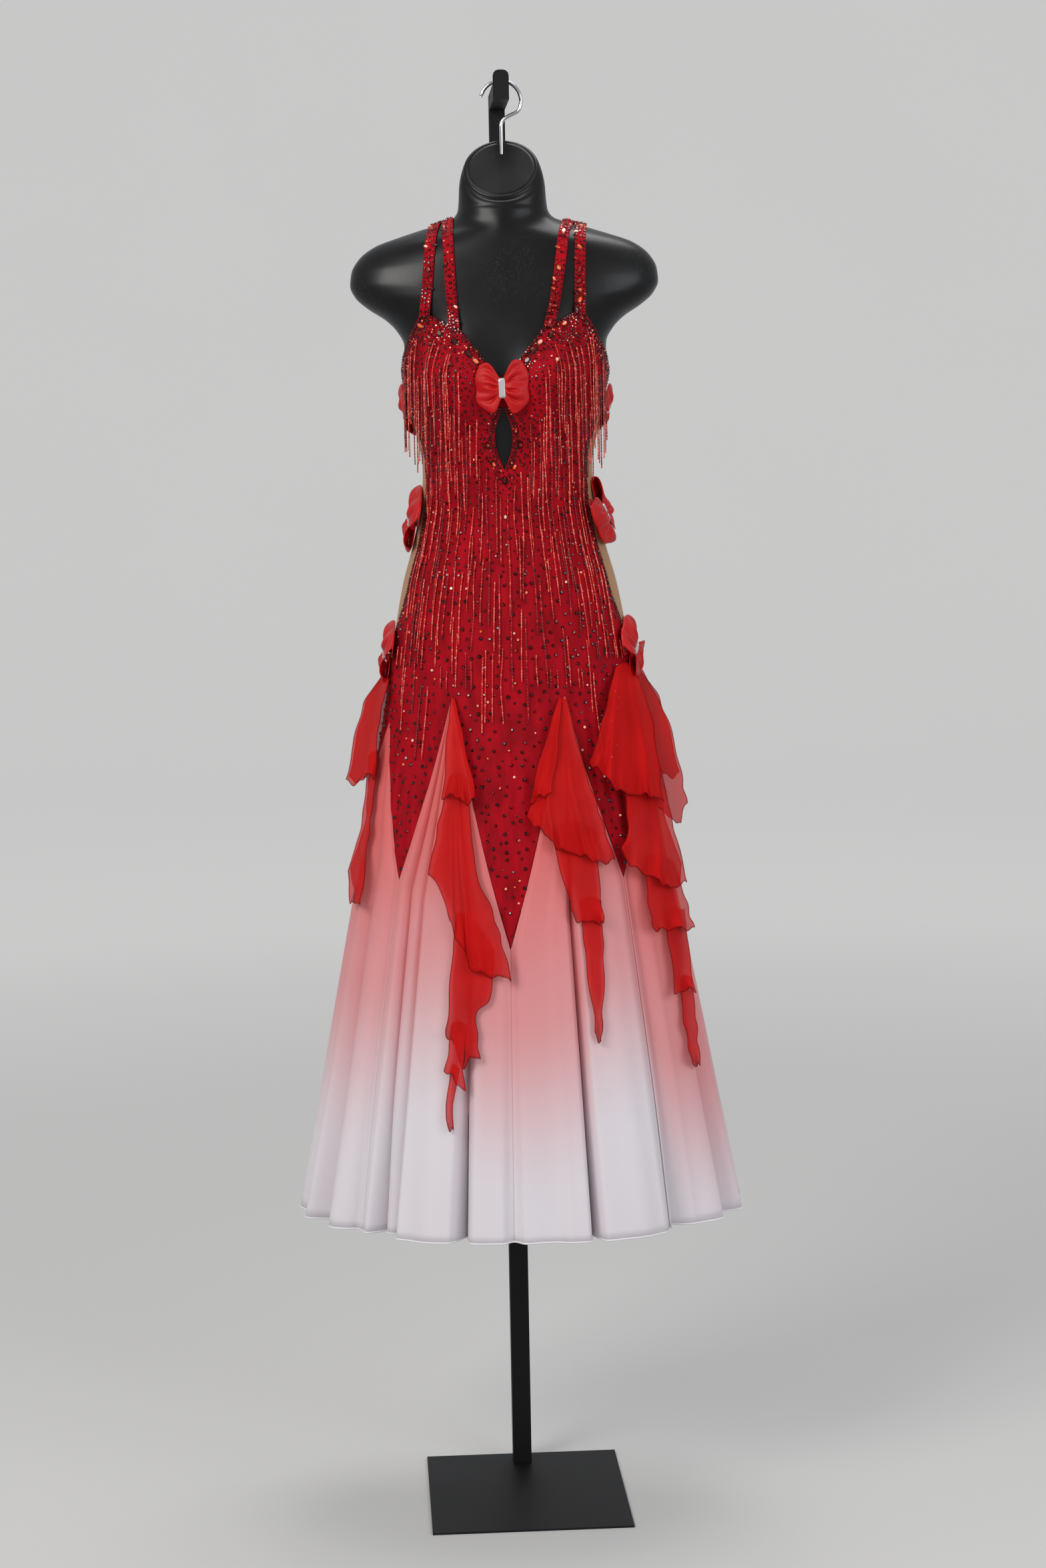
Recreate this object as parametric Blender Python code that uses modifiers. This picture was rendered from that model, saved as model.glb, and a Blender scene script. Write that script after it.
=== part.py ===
"""Ballroom dance dress on a limbless torso form, hung from the arm of a floor stand.

Real size in metres, +Z up. The front of the dress faces -Y, the centre plane is X = 0, and the
origin lies on the floor below the hook. Every cloth piece is a thin wall on one shared surface,
which is given by level sections of the figure and of the skirt.
"""
import math
from bisect import bisect_left

import bpy
import bmesh
from mathutils import Matrix, Vector
from mathutils.bvhtree import BVHTree

MM = 0.001
DEG = math.pi / 180.0

# Walls and gaps, in millimetres
STRETCH_CLOTH = 1.6
MESH_CLOTH = 1.2
SKIRT_CLOTH = 1.2
CHIFFON = 1.0
SATIN = 1.2
SEAM_GAP = 0.5
CLOTH_OFF_FORM = 3.6

# Level sections of the torso form, from the neck down, in millimetres.
# Columns: height, half width, front depth, back depth, squareness of the outline.
FIGURE = (
    (1925, 44, 30, 40, 2.1),
    (1900, 51, 44, 45, 2.1),
    (1875, 54, 48, 47, 2.1),
    (1838, 58, 51, 51, 2.1),
    (1822, 62, 53, 54, 2.1),
    (1812, 68, 55, 57, 1.9),
    (1804, 88, 57, 61, 1.6),
    (1797, 114, 59, 65, 1.5),
    (1788, 143, 61, 69, 1.7),
    (1775, 179, 64, 74, 1.95),
    (1758, 201, 67, 79, 2.25),
    (1740, 211, 70, 83, 2.5),
    (1722, 213, 73, 85, 2.6),
    (1706, 206, 75, 87, 2.6),
    (1690, 188, 77, 88, 2.5),
    (1675, 165, 79, 88, 2.4),
    (1660, 150, 81, 88, 2.3),
    (1640, 140, 84, 87, 2.2),
    (1600, 139, 88, 84, 2.2),
    (1560, 132, 89, 78, 2.2),
    (1520, 122, 86, 71, 2.2),
    (1475, 114, 81, 64, 2.2),
    (1430, 116, 79, 61, 2.2),
    (1370, 128, 85, 68, 2.2),
    (1311, 145, 95, 80, 2.2),
    (1256, 155, 103, 87, 2.2),
    (1200, 166, 109, 89, 2.1),
    (1150, 168, 110, 87, 2.1),
    (1100, 162, 104, 82, 2.1),
    (1050, 150, 94, 76, 2.1),
)
# The skirt below the hips, with the same columns. The back depth is that of its fullest folds.
SKIRT = (
    (1150, 176, 116, 91, 2.1),
    (1100, 184, 122, 93, 2.05),
    (1034, 196, 135, 104, 2.0),
    (907, 219, 157, 127, 2.0),
    (776, 243, 178, 148, 2.0),
    (595, 275, 201, 171, 2.0),
    (425, 301, 216, 188, 2.0),
)
HIP_JOIN = 1175
CUP_HEIGHT, CUP_X, CUP_DEPTH, CUP_RADIUS_X, CUP_RADIUS_Z = 1588, 72, 27, 47, 52
FORM_CUP_SHARE = 0.8
POST_DENT_LIMIT, POST_DENT_WIDTH = 92, 24

# Front neckline and armhole edge: distance from the centre, height
NECKLINE = ((0, 1583), (20, 1609), (58, 1658), (72, 1664), (99, 1678), (113, 1676),
            (128, 1652), (139, 1625), (143.5, 1600))
# Back edge in the same way: a plain scoop between the shoulder blades
BACK_EDGE = ((0, 1508), (40, 1530), (75, 1572), (100, 1590), (125, 1597), (143.5, 1600))
SIDE_TOP = 1600
EDGE_SEARCH = (1450.0, 1720.0)
# Where the coloured panels end at the side, as an angle from the front: height, angle
SIDE_EDGE = ((1610, 86), (1560, 79), (1500, 71), (1430, 68), (1370, 67), (1311, 67),
             (1262, 75), (1222, 87), (1205, 89.85))
# The lower edge of the panels zigzags between points and godet peaks: angle, height
POINTS = ((0, 819), (25, 1160), (45, 907), (68, 1122), (90, 1034), (112, 1122), (135, 907),
          (155, 1160), (180, 819))
HEM = 425
WIDEST_SHARE = 0.999
HEM_STEPS = 4
HIP_ROW = 1190
BODY_ROWS, FRONT_POINT_ROWS, BACK_POINT_ROWS = 15, 6, 5
EDGE_STEPS = 3
MESH_COLUMNS, MESH_END = 3, 86.0
TIP_LIFT = 0.7

KEYHOLE_TOP, KEYHOLE_BOTTOM, KEYHOLE_WIDTH, KEYHOLE_STEPS = 1552, 1466, 24, 7
KEYHOLE_DEPTH, KEYHOLE_AT = 60, -90

# Folds of each godet: share of its width from the left, how far it stands out at the hem
FOLDS = {
    "godet_front_left": ((0.06, 9), (0.15, -12), (0.30, 15), (0.52, 13), (0.62, -13),
                         (0.74, 13), (0.86, -15), (0.95, 6)),
    "godet_front_right": ((0.08, -3), (0.20, 4), (0.32, -13), (0.46, 15), (0.60, 12),
                          (0.70, -14), (0.86, 13), (0.95, -6)),
    "godet_side_left": ((0.12, 10), (0.28, -12), (0.45, 14), (0.62, -12), (0.82, 12)),
    "godet_side_right": ((0.14, 12), (0.34, 10), (0.48, -13), (0.66, 14), (0.86, -10)),
    "godet_rear_left": ((0.14, 10), (0.30, -12), (0.48, 14), (0.66, -12), (0.84, 10)),
    "godet_rear_right": ((0.16, 10), (0.34, -12), (0.52, 14), (0.70, -12), (0.86, 10)),
    "godet_back_left": ((0.12, -5), (0.28, 10), (0.44, -12), (0.60, 13), (0.78, -12), (0.92, 8)),
    "godet_back_right": ((0.10, 9), (0.26, -12), (0.42, 13), (0.58, -12), (0.74, 10), (0.90, -5)),
}
# The peak of each godet, as an angle from the front, and the points on its two sides
GODETS = {
    "godet_front_left": (-45, -25, 0),
    "godet_front_right": (0, 25, 45),
    "godet_side_left": (-90, -68, -45),
    "godet_side_right": (45, 68, 90),
    "godet_rear_left": (-135, -112, -90),
    "godet_rear_right": (90, 112, 135),
    "godet_back_left": (-180, -155, -135),
    "godet_back_right": (135, 155, 180),
}
GODET_FIRST_ROW, FOLD_POWER, CREST = 0.08, 1.1, 16
CASCADE_CLEAR, CASCADE_SEAT = 2.6, 2.7
# Points across a cascade. Columns: share of its width, and the weights of the three stand-offs
CASCADE_COLUMNS = ((0.0, 1.0, 0.0, 0.0), (0.33, 0.5, 0.5, 0.0), (0.6, 0.0, 1.0, 0.0),
                   (1.0, 0.0, 0.0, 1.0))

# Chiffon cascades. Columns: height, left edge x, right edge x, stand-off of the left edge,
# of the middle and of the right edge, beyond the crests of the godet.
CASCADE_FRONT_LEFT = (
    (1154, -74, -66, 0, 0, 0),
    (1100, -84, -54, 3, 9, 3),
    (1035, -93, -43, 4, 13, 4),
    (1012, -92, -42, 8, 5, 9),
    (955, -97, -62, 5, 10, 4),
    (905, -106, -55, 3, 12, 5),
    (850, -82, -30, 8, 4, 10),
    (800, -76, -4, 4, 12, 4),
    (775, -70, 4, 9, 5, 9),
    (738, -74, -24, 5, 10, 4),
    (700, -72, -38, 3, 9, 5),
    (655, -76, -40, 7, 4, 7),
    (600, -80, -62, 4, 7, 4),
    (560, -79, -74, 3, 4, 3),
)
CASCADE_FRONT_RIGHT = (
    (1152, 70, 78, 0, 0, 0),
    (1100, 62, 88, 3, 9, 3),
    (1045, 42, 98, 5, 13, 5),
    (1005, 36, 106, 9, 6, 10),
    (965, 58, 118, 4, 12, 5),
    (925, 84, 143, 8, 6, 10),
    (885, 96, 134, 4, 11, 4),
    (845, 98, 128, 8, 5, 9),
    (780, 104, 128, 4, 8, 4),
    (700, 112, 130, 3, 6, 4),
    (655, 118, 127, 3, 4, 3),
)
CASCADE_SIDE_RIGHT = (
    (1194, 150, 168, 0, 1, 0),
    (1150, 141, 186, 1, 5, 2),
    (1095, 126, 203, 8, 16, 10),
    (1040, 124, 217, 12, 10, 18),
    (1000, 152, 226, 6, 16, 14),
    (960, 160, 224, 9, 8, 12),
    (915, 166, 232, 5, 15, 12),
    (868, 188, 246, 9, 8, 18),
    (825, 204, 254, 5, 12, 14),
    (780, 216, 252, 8, 6, 10),
    (715, 228, 262, 5, 9, 10),
    (640, 244, 264, 4, 5, 5),
)
CASCADE_SIDE_LEFT = (
    (1180, -178, -166, -0.6, -0.6, -0.6),
    (1130, -204, -170, 14, 10, 4),
    (1075, -222, -178, 20, 12, 8),
    (1038, -226, -196, 18, 10, 9),
    (1000, -218, -190, 8, 14, 6),
    (950, -216, -196, 6, 8, 5),
    (905, -226, -198, 9, 12, 6),
    (870, -232, -198, 12, 6, 8),
    (840, -226, -206, 6, 5, 4),
)
# Columns: table, whether it is turned to the back, whether left and right change places
CASCADES = {
    "cascade_front_left": (CASCADE_FRONT_LEFT, False, False),
    "cascade_front_right": (CASCADE_FRONT_RIGHT, False, False),
    "cascade_side_left": (CASCADE_SIDE_LEFT, False, False),
    "cascade_side_right": (CASCADE_SIDE_RIGHT, False, False),
    "cascade_rear_left": (CASCADE_SIDE_LEFT, True, False),
    "cascade_rear_right": (CASCADE_SIDE_LEFT, True, True),
    "cascade_back_left": (CASCADE_FRONT_RIGHT, True, True),
    "cascade_back_right": (CASCADE_FRONT_RIGHT, True, False),
}

# Bows. Columns: angle from the front, height, turn about its middle, size, stand-off
BOWS = {
    "front": (0, 1576, 2, 1.0, 9.0),
    "underarm_left": (-90, 1551, 58, 0.9, 2.0),
    "underarm_right": (89, 1551, -60, 0.8, 2.0),
    "waist_left": (-82, 1397, 58, 1.15, 5.7),
    "waist_right": (80, 1402, 34, 1.15, 6.7),
    "hip_left": (-84, 1214, 66, 1.1, 2.8),
    "hip_right": (80, 1216, -58, 1.1, 3.9),
}
# Half of a bow's plan from its middle. Columns: across, how far it bulges, half height
BOW_PLAN = ((6.5, 4.5, 12), (25, 11, 35), (37, 5, 31))
# Its back band: how far it sinks, its share of the loops' length, and the bulge left at its edges
BOW_BACK, BOW_BACK_SHARE, BOW_EDGE_SWELL = 1.2, 0.98, 0.72
CRYSTAL_LENGTH, CRYSTAL_WIDTH, CRYSTAL_DEPTH = 27, 11, 5

# Straps: front foot x, shoulder x, back foot x
STRAPS = {
    "strap_left_outer": (-106, -92, -88),
    "strap_left_inner": (-64, -76, -70),
    "strap_right_inner": (64, 92, 74),
    "strap_right_outer": (106, 108, 92),
}
STRAP_WIDTH, STRAP_THICK, STRAP_STEPS = 14.5, 2.2, 24
STRAP_CENTRE = 1640
STRAP_LIFT, STRAP_CROWDING, STRAP_SEAM, STRAP_RAY = 4.6, 0.2, 1.6, 300.0

# Bead fringe. Columns: root height, first angle, last angle, strands, length, how far off the
# cloth the strip's upper edge lies
COMBS = {
    "fringe_bust_left": (1622, -66, -24, 11, 116, 3.0),
    "fringe_bust_right": (1622, 24, 66, 11, 116, 3.2),
    "fringe_underbust_left": (1530, -58, -16, 7, 88, 4.2),
    "fringe_underbust_right": (1530, 16, 58, 7, 88, 4.0),
    "fringe_waist": (1446, -50, 50, 11, 98, 2.6),
    "fringe_high_hip": (1336, -52, 52, 11, 96, 2.6),
    "fringe_hip": (1228, -56, 56, 11, 52, 2.6),
}
STRAND, COMB_STRIP, COMB_STANDOFF = 1.8, 3.0, 3.6
# Strands take turns at three lengths, the shortest cut by this share
STRAND_SHORTER, STRAND_LENGTHS = 0.22, (0.0, 1.0, 0.5)
# A strand's bends: its level of twelve, and the last level whose swell it clears
STRAND_LEVELS, STRAND_BENDS = 12, ((0, 0), (4, 8), (12, 12))

REACH_SEARCH, SEARCH_STEPS = 110.0, 26

# Form, hook and stand
DISC_BOTTOM, DISC_TOP = (-46, 1836), (12, 1918)
FORM_SIDES, FORM_FOOT, FORM_FOOT_Y = 28, 1050, 8
FORM_EXTRA_ROWS = [CUP_HEIGHT, 1540]
# The rounded foot's rings: share of the last section, drop
FORM_FOOT_RINGS = ((0.9, 12.0), (0.6, 20.0))
# The neck disc and its rounded rim: half width, share of the disc's slope, how far it dips
NECK_RIM = ((28.0, 0.55, 0.0), (46.0, 0.93, 0.0), (52.5, 1.04, -3.5))
BORE_SIDES, BORE_DEPTH = 12, 100
HOOK_RADIUS, HOOK_WIRE, HOOK_CENTRE, HOOK_TIP, HOOK_TURN = 27.8, 5.0, 1969.2, 167, -25
HOOK_STEM_TOP, HOOK_STEM_FOOT, BORE_CLEARANCE = 1936, 1872.5, 0.45
HOOK_RISE, HOOK_PULL, HOOK_BEND_STEPS, HOOK_STEPS = 14, 7, 6, 16
STAND_YAW = 5.7
ARM_WIDTH, ARM_FOOT, ARM_TOP = 22.0, 1970.0, 1991.6
LIP_TOP, LIP_THICK, LIP_FRONT, LIP_ROUND = 2010.0, 4.0, -16.0, 8.0
POST_FACE = 100.0
LOWER_POST, LOWER_WALL, LOWER_TOP = 27.0, 2.2, 1150.0
POST_OVERLAP = 120.0
PLATE_WIDTH, PLATE_FRONT, PLATE_BACK, PLATE_THICK = 281.0, -170.0, 142.0, 3.0
FIT_GAP = 0.3


def clear_scene():
    """Empty the file of objects."""
    for obj in list(bpy.data.objects):
        bpy.data.objects.remove(obj, do_unlink=True)


def make_collection(name):
    """A new collection under the scene's own."""
    group = bpy.data.collections.new(name)
    bpy.context.scene.collection.children.link(group)
    return group


def make_material(name, colour, roughness, metallic=0.0):
    """A Principled material of one colour."""
    mat = bpy.data.materials.new(name)
    mat.use_nodes = True
    shader = mat.node_tree.nodes["Principled BSDF"]
    shader.inputs["Base Color"].default_value = (*colour, 1.0)
    shader.inputs["Roughness"].default_value = roughness
    shader.inputs["Metallic"].default_value = metallic
    return mat


def read_table(table, at, column):
    """A column of a table whose first column falls, on a smooth curve without overshoot."""
    keys = [-row[0] for row in table]
    if -at <= keys[0]:
        return table[0][column]
    if -at >= keys[-1]:
        return table[-1][column]
    i = bisect_left(keys, -at)
    i = max(1, i)

    def slope(k):
        return (table[k + 1][column] - table[k][column]) / (keys[k + 1] - keys[k])

    def tangent(k):
        if k == 0 or k == len(table) - 1:
            return slope(min(k, len(table) - 2))
        before, after = slope(k - 1), slope(k)
        if before * after <= 0.0:
            return 0.0
        return 2.0 * before * after / (before + after)

    span = keys[i] - keys[i - 1]
    t = (-at - keys[i - 1]) / span
    start, end = table[i - 1][column], table[i][column]
    return (start * (1 + 2 * t) * (1 - t) ** 2 + span * tangent(i - 1) * t * (1 - t) ** 2
            + end * t * t * (3 - 2 * t) + span * tangent(i) * t * t * (t - 1))


def read_line(table, at):
    """The second column of a table whose first column rises, on straight lines."""
    keys = [row[0] for row in table]
    if at <= keys[0]:
        return table[0][1]
    if at >= keys[-1]:
        return table[-1][1]
    i = bisect_left(keys, at)
    share = (at - keys[i - 1]) / (keys[i] - keys[i - 1])
    return table[i - 1][1] + share * (table[i][1] - table[i - 1][1])


def grown(table, by):
    """A section table made larger all round."""
    return tuple((z, a + by, f + by, b + by, n) for z, a, f, b, n in table)


DRESS = tuple(row for row in grown(FIGURE, CLOTH_OFF_FORM) if row[0] > HIP_JOIN) + SKIRT


def signed_power(value, power):
    """A power that keeps its sign."""
    return math.copysign(abs(value) ** power, value)


def section_point(table, angle, z):
    """The point of a section table's surface at an angle from the front, with the cups."""
    half, front, back, square = (read_table(table, z, c) for c in (1, 2, 3, 4))
    s, c = math.sin(angle * DEG), math.cos(angle * DEG)
    x = half * signed_power(s, 2.0 / square)
    y = -(front if c > 0 else back) * signed_power(c, 2.0 / square)
    if c > 0:
        cup = CUP_DEPTH * (FORM_CUP_SHARE if table is FIGURE else 1.0)
        for side in (-1, 1):
            reach = ((x - side * CUP_X) / CUP_RADIUS_X) ** 2 + ((z - CUP_HEIGHT) / CUP_RADIUS_Z) ** 2
            y -= cup * math.exp(-reach) * min(1.0, c * 3.0)
    elif back > POST_DENT_LIMIT:
        turn = (180.0 - abs(angle)) / POST_DENT_WIDTH
        y -= (back - POST_DENT_LIMIT) * math.exp(-turn * turn)
    return Vector((x, y, z))


def surface_normal(table, angle, z):
    """The outward direction of a section table's surface."""
    across = section_point(table, angle + 0.5, z) - section_point(table, angle - 0.5, z)
    up = section_point(table, angle, z + 1.0) - section_point(table, angle, z - 1.0)
    return across.cross(up).normalized()


def dress_point(angle, z, lift=0.0):
    """A point on the dress, moved out by a lift."""
    point = section_point(DRESS, angle, z)
    if lift:
        point += surface_normal(DRESS, angle, z) * lift
    return point


def angle_of_x(x, z):
    """The angle from the front at which the dress reaches a given x."""
    half, square = read_table(DRESS, z, 1), read_table(DRESS, z, 4)
    share = min(WIDEST_SHARE, abs(x) / half)
    return math.copysign(math.asin(share ** (square / 2.0)) / DEG, x)


def side_edge(z):
    """The angle at which the coloured panels end."""
    return read_table(SIDE_EDGE, z, 1)


def top_height(share, edge):
    """The height of a panel's upper edge at a share of its width, solved by halving."""
    if share >= 1.0:
        return SIDE_TOP
    low, high = EDGE_SEARCH
    for _ in range(SEARCH_STEPS):
        z = 0.5 * (low + high)
        x = abs(section_point(DRESS, share * side_edge(z), z).x)
        if read_line(edge, x) > z:
            low = z
        else:
            high = z
    return z


def sheet_object(name, rows, thickness, material, group, offset=0.0):
    """A cloth piece: an open grid of points given as rows, with a wall put on by Solidify."""
    mesh = bpy.data.meshes.new(name)
    bm = bmesh.new()
    grid = [[bm.verts.new(point * MM) for point in row] for row in rows]
    for upper, lower in zip(grid, grid[1:]):
        for k in range(len(upper) - 1):
            bm.faces.new((upper[k], lower[k], lower[k + 1], upper[k + 1]))
    bm.to_mesh(mesh)
    bm.free()
    obj = bpy.data.objects.new(name, mesh)
    group.objects.link(obj)
    obj.data.materials.append(material)
    wall = obj.modifiers.new("wall", "SOLIDIFY")
    wall.thickness = thickness * MM
    wall.offset = offset
    mesh.shade_smooth()
    return obj


def body_height(top, row):
    """The height of a row of a panel between its upper edge and the hip."""
    return top + (HIP_ROW - top) * row / BODY_ROWS


def panel_rows(shares, edge, point_rows, placed):
    """Rows of a front or back panel, from its upper edge down to its points."""
    rows = []
    tops = [top_height(abs(s), edge) for s in shares]
    for i in range(BODY_ROWS + 1):
        row = []
        for s, top in zip(shares, tops):
            z = body_height(top, i)
            row.append(dress_point(placed(s * side_edge(z)), z))
        rows.append(row)
    for i in range(1, point_rows + 1):
        row = []
        for s in shares:
            angle = placed(s * SIDE_EDGE[-1][1])
            foot = read_line(POINTS, abs(angle)) + TIP_LIFT
            row.append(dress_point(angle, HIP_ROW + (foot - HIP_ROW) * i / point_rows))
        rows.append(row)
    return rows


def edge_shares(between):
    """Shares of a panel's half width: its points and peaks, and even steps between them."""
    stops = [angle / 90.0 for angle, _ in POINTS[:5]]
    shares = [0.0]
    for low, high in zip(stops, stops[1:]):
        shares += [low + (high - low) * k / between for k in range(1, between + 1)]
    return tuple(shares)


def both_sides(shares):
    """Shares from -1 to 1 out of those from 0 to 1."""
    return tuple(-s for s in reversed(shares[1:])) + shares


def front_panel(material, group, tools):
    """The beaded front, with its keyhole cut through."""
    rows = panel_rows(both_sides(edge_shares(EDGE_STEPS)), NECKLINE, FRONT_POINT_ROWS,
                      lambda angle: angle)
    panel = sheet_object("front_panel", rows, STRETCH_CLOTH, material, group)
    cutter = keyhole_cutter(tools)
    cut = panel.modifiers.new("keyhole", "BOOLEAN")
    cut.operation = "DIFFERENCE"
    cut.solver = "EXACT"
    cut.object = cutter


def keyhole_cutter(tools):
    """A pointed oval prism that runs through the front of the bodice."""
    curve = bpy.data.curves.new("keyhole_cutter", "CURVE")
    curve.dimensions = "2D"
    curve.fill_mode = "BOTH"
    curve.extrude = KEYHOLE_DEPTH * MM
    middle = 0.5 * (KEYHOLE_TOP + KEYHOLE_BOTTOM)
    tall = 0.5 * (KEYHOLE_TOP - KEYHOLE_BOTTOM)
    outline = []
    for side in (1, -1):
        for k in range(KEYHOLE_STEPS):
            h = side * (1 - 2 * k / KEYHOLE_STEPS)
            outline.append((side * 0.5 * KEYHOLE_WIDTH * math.cos(h * math.pi / 2), h * tall))
    spline = curve.splines.new("POLY")
    spline.points.add(len(outline) - 1)
    for point, (x, z) in zip(spline.points, outline):
        point.co = (x * MM, z * MM, 0.0, 1.0)
    spline.use_cyclic_u = True
    shape = bpy.data.objects.new("keyhole_curve", curve)
    tools.objects.link(shape)
    shape.location = (0.0, KEYHOLE_AT * MM, middle * MM)
    shape.rotation_euler = (math.pi / 2, 0.0, 0.0)
    return mesh_from_curve(shape, "keyhole_cutter", tools, helper=True)


def mesh_from_curve(shape, name, group, helper=False):
    """Turn a curve object into a welded mesh object in its place."""
    bpy.context.view_layer.update()
    depsgraph = bpy.context.evaluated_depsgraph_get()
    mesh = bpy.data.meshes.new_from_object(shape.evaluated_get(depsgraph))
    bm = bmesh.new()
    bm.from_mesh(mesh)
    bmesh.ops.remove_doubles(bm, verts=bm.verts, dist=1e-6)
    bm.to_mesh(mesh)
    bm.free()
    obj = bpy.data.objects.new(name, mesh)
    obj.matrix_world = shape.matrix_world.copy()
    group.objects.link(obj)
    bpy.data.objects.remove(shape, do_unlink=True)
    if helper:
        obj.hide_render = True
        obj.display_type = "WIRE"
    return obj


def behind(angle):
    """The angle that mirrors one from the front to the back."""
    return math.copysign(180.0, angle) - angle if angle else 180.0


def back_panel(material, group):
    """The plain back, scooped between the shoulder blades."""
    rows = panel_rows(both_sides(edge_shares(EDGE_STEPS)), BACK_EDGE, BACK_POINT_ROWS, behind)
    sheet_object("back_panel", [row[::-1] for row in rows], STRETCH_CLOTH, material, group)


def side_panels(material, group):
    """The skin-coloured stretch mesh between front and back, from underarm to hip."""
    for name, side in (("side_panel_left", -1), ("side_panel_right", 1)):
        rows = []
        for i in range(BODY_ROWS):
            z = body_height(SIDE_TOP, i)
            first = side_edge(z) + SEAM_GAP / read_table(DRESS, z, 2) / DEG
            if first > MESH_END and i > 1:
                break
            row = []
            for k in range(MESH_COLUMNS + 1):
                turn = first + (180.0 - 2 * first) * k / MESH_COLUMNS
                row.append(dress_point(side * turn, z))
            rows.append(row if side > 0 else row[::-1])
        sheet_object(name, rows, MESH_CLOTH, material, group)


def fold_offset(folds, share):
    """How far a godet's fold stands out at the hem, easing between the rows of its table."""
    knots = ((0.0, 0.0),) + folds + ((1.0, 0.0),)
    for (u0, v0), (u1, v1) in zip(knots, knots[1:]):
        if share <= u1:
            t = (share - u0) / (u1 - u0)
            return v0 + (v1 - v0) * (0.5 - 0.5 * math.cos(math.pi * t))
    return 0.0


def fold_growth(z, peak):
    """Folds grow from nothing at a godet's peak to their full size at the hem."""
    return max(0.0, (peak - z) / (peak - HEM)) ** FOLD_POWER


def godet(name, material, group):
    """One flared insert, from its peak down to the hem, with its folds.

    Its rows fan out from the peak: their ends keep to the panels' edges, and then to the seams.
    """
    left, middle, right = GODETS[name]
    peak, foot_left, foot_right = (read_line(POINTS, abs(a)) for a in (middle, left, right))
    folds = FOLDS[name]
    shares = [0.0] + [u for u, _ in folds] + [1.0]
    if abs(middle) < 90:
        shares = sorted(shares + [0.5 * (a + b) for a, b in zip(shares, shares[1:])])
    steps = [GODET_FIRST_ROW] + [k / EDGE_STEPS for k in range(1, EDGE_STEPS + 1)]
    rows = []
    for run in steps + [1 + k / HEM_STEPS for k in range(1, HEM_STEPS + 1)]:
        ends = []
        for tip, foot, inward in ((left, foot_left, 1), (right, foot_right, -1)):
            along = min(run, 1.0)
            angle = middle + (tip - middle) * along
            z = peak + (foot - peak) * along + (HEM - foot) * max(0.0, run - 1)
            inset = SEAM_GAP / read_table(DRESS, z, 2) / DEG * (1.0 if run < 1 else 0.5)
            ends.append((angle + inward * inset, z))
        row = []
        for u in shares:
            angle = ends[0][0] + (ends[1][0] - ends[0][0]) * u
            z = ends[0][1] + (ends[1][1] - ends[0][1]) * u
            row.append(dress_point(angle, z, fold_offset(folds, u) * fold_growth(z, peak)))
        rows.append(row)
    sheet_object(name, rows, SKIRT_CLOTH, material, group)


def cascade(name, material, group):
    """A falling frill of chiffon in front of a godet, one row for each swing of its edges."""
    table, turned, swapped = CASCADES[name]
    rows = []
    for z, x_left, x_right, off_left, off_middle, off_right in table:
        clear = CASCADE_CLEAR + CREST * fold_growth(z, POINTS[1][1])
        row = []
        for share, *weights in CASCADE_COLUMNS:
            off = sum(w * v for w, v in zip(weights, (off_left, off_middle, off_right)))
            x = (x_left + (x_right - x_left) * share) * (-1 if swapped else 1)
            lift = (clear if rows else CASCADE_SEAT) + off
            half = read_table(DRESS, z, 1) + lift
            angle = math.copysign(math.asin(min(WIDEST_SHARE, abs(x) / half)) / DEG, x)
            row.append(dress_point(behind(angle) if turned else angle, z, lift))
        rows.append(row[::-1] if turned != swapped else row)
    sheet_object(name, rows, CHIFFON, material, group)


def bow_frame(angle, z, turn, off):
    """Where a bow sits: its middle and its own axes, across, outwards and up."""
    outward = surface_normal(DRESS, angle, z)
    across = Vector((0, 0, 1)).cross(outward).normalized()
    up = outward.cross(across)
    spin = Matrix.Rotation(turn * DEG, 3, outward)
    return dress_point(angle, z, off), spin @ across, outward, spin @ up


def bow(name, satin, glass, group):
    """A satin bow: one band round two loops, open above and below, with a crystal bar."""
    angle, z, turn, size, off = BOWS[name]
    middle, across, outward, up = bow_frame(angle, z, turn, off)
    half = [(a * size, b * size, h * size) for a, b, h in BOW_PLAN]
    front = [(-a, b, h) for a, b, h in reversed(half)] + half
    back = [(a * BOW_BACK_SHARE, -BOW_BACK, h) for a, _, h in half[:-1]]
    back.append((half[-1][0] * BOW_BACK_SHARE, 0.0, half[-1][2]))
    ring = front + list(reversed(back)) + [(-a, b, h) for a, b, h in back]
    mesh = bpy.data.meshes.new("bow_" + name)
    bm = bmesh.new()
    rows = []
    for level in (1, 0, -1):
        row = []
        for a, b, h in ring:
            swell = b if level == 0 else b * BOW_EDGE_SWELL
            row.append(bm.verts.new((middle + across * a + outward * swell + up * h * level) * MM))
        rows.append(row)
    count = len(ring)
    for upper, lower in zip(rows, rows[1:]):
        for k in range(count):
            n = (k + 1) % count
            bm.faces.new((upper[k], lower[k], lower[n], upper[n]))
    bm.to_mesh(mesh)
    bm.free()
    obj = bpy.data.objects.new("bow_" + name, mesh)
    group.objects.link(obj)
    obj.data.materials.append(satin)
    wall = obj.modifiers.new("wall", "SOLIDIFY")
    wall.thickness = SATIN * MM
    wall.offset = -1.0
    mesh.shade_smooth()
    crystal(name, middle, (across, outward, up), size, glass, group)


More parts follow.
